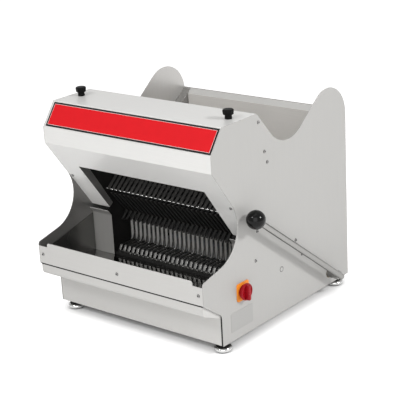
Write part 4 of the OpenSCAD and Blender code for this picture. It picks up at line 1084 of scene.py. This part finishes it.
# Side plug: place, rings and radii of its groove
PLUG_PLACE = (SIDE_X, 268.5, 148)
PLUG_PROFILE = [(0, 0), (8, 0), (8, 0.5), (7.6, 0.7), (7.3, 0.6), (7.2, 0.1), (6.1, 0.1), (6.0, 0.6),
                (5.4, 0.9), (0, 1.2)]
PLUG_GROOVE = (6.0, 7.3)


def make_lever():
    lean = radians(LEVER_LEAN)
    way = Vector((0, -cos(lean), sin(lean)))
    foot = at(LEVER_X, *PIVOT)
    tube = lathe(TUBE_PROFILE, foot, way)
    add("lever_tube_turned", tube, [tube_chrome], "feed", ["lever_tube"])
    profile = list(COLLAR_PROFILE)
    opening = radians(BALL_OPENING)
    for i in range(BALL_STEPS + 1):
        angle = opening + (pi - opening) * i / BALL_STEPS
        radius = BALL_R - (PARTING_D if abs(angle - pi / 2) < PARTING_HALF_ANGLE else 0)
        profile.append((radius * sin(angle) if i < BALL_STEPS else 0, BALL_AT - radius * cos(angle)))
    ball = lathe(profile, foot, way, steps=64)
    add("lever_ball", ball, [gloss_black], "feed", ["lever_knob"])


def make_cover_knob(name, body, x):
    """A lobed head on a plain neck, with its threaded stud under the roof."""
    bm = lathe(KNOB_PROFILE, at(x, KNOB_Y, ROOF_Z), (0, 0, 1), steps=72, lobes=KNOB_LOBES, depth=LOBE_D)
    add(name + "_lobed", bm, [knob_black], body, [name])


def is_plate_corner(edge):
    """Whether an edge of the switch plate runs across the machine at one of the plate's corners."""
    a, b = (vert.co for vert in edge.verts)
    beside = min(abs(a.y - at(0, y, 0).y) for y in PLATE_Y)
    return abs(a.x - b.x) > CORNER_NEAR * MM and beside < CORNER_NEAR * MM


def squared(value, power):
    """A sine or cosine pulled towards plus or minus one."""
    return (1 if value > 0 else -1) * abs(value) ** power


def make_switch():
    plate = welded("switch_plate")
    face_x = at(PLATE_FACE_X, 0, 0).x
    ease(plate, PLATE_CORNER_R, PLATE_TURN, segments=4, where=is_plate_corner)
    ease(plate, PLATE_EASE, PLATE_TURN, where=lambda edge: min(v.co.x for v in edge.verts) > face_x)
    add("switch_plate_moulded", plate, [switch_orange], "root", ["switch_plate"])
    seat = at(*SWITCH_SEAT)
    handle = lathe(DISC_PROFILE, seat, (1, 0, 0), steps=64)
    rings = []
    for share, half, reach in GRIP_RINGS:
        ring = []
        for k in range(GRIP_STEPS):
            angle = 2 * pi * k / GRIP_STEPS
            y = half * squared(cos(angle), GRIP_SIDE_POWER)
            z = reach * squared(sin(angle), GRIP_END_POWER)
            ring.append(handle.verts.new(seat + Vector((GRIP_FOOT + GRIP_RISE * share, y, z)) * MM))
        rings.append(ring)
    for a, b in zip(rings, rings[1:]):
        for k in range(GRIP_STEPS):
            after = (k + 1) % GRIP_STEPS
            handle.faces.new((a[k], a[after], b[after], b[k]))
    handle.faces.new(rings[-1])
    handle.faces.new(rings[0])
    bmesh.ops.recalc_face_normals(handle, faces=handle.faces)
    add("switch_handle_moulded", handle, [handle_red], "switch_knob", ["switch_handle"])


def make_plug():
    """A flush plug whose groove shows as a fine ring of painted shade."""
    place = at(*PLUG_PLACE)
    bm = lathe(PLUG_PROFILE, place, (1, 0, 0), steps=40)
    inner, outer = (radius * MM for radius in PLUG_GROOVE)
    for face in bm.faces:
        face.material_index = int(inner < hypot(*(face.calc_center_median() - place).yz) < outer)
    add("side_plug_turned", bm, [satin_panel, dark_recess], "root", ["side_plug"])


make_lever()
make_cover_knob("left_cover_knob", "left_knob", -KNOB_X)
make_cover_knob("right_cover_knob", "right_knob", KNOB_X)
make_switch()
make_plug()
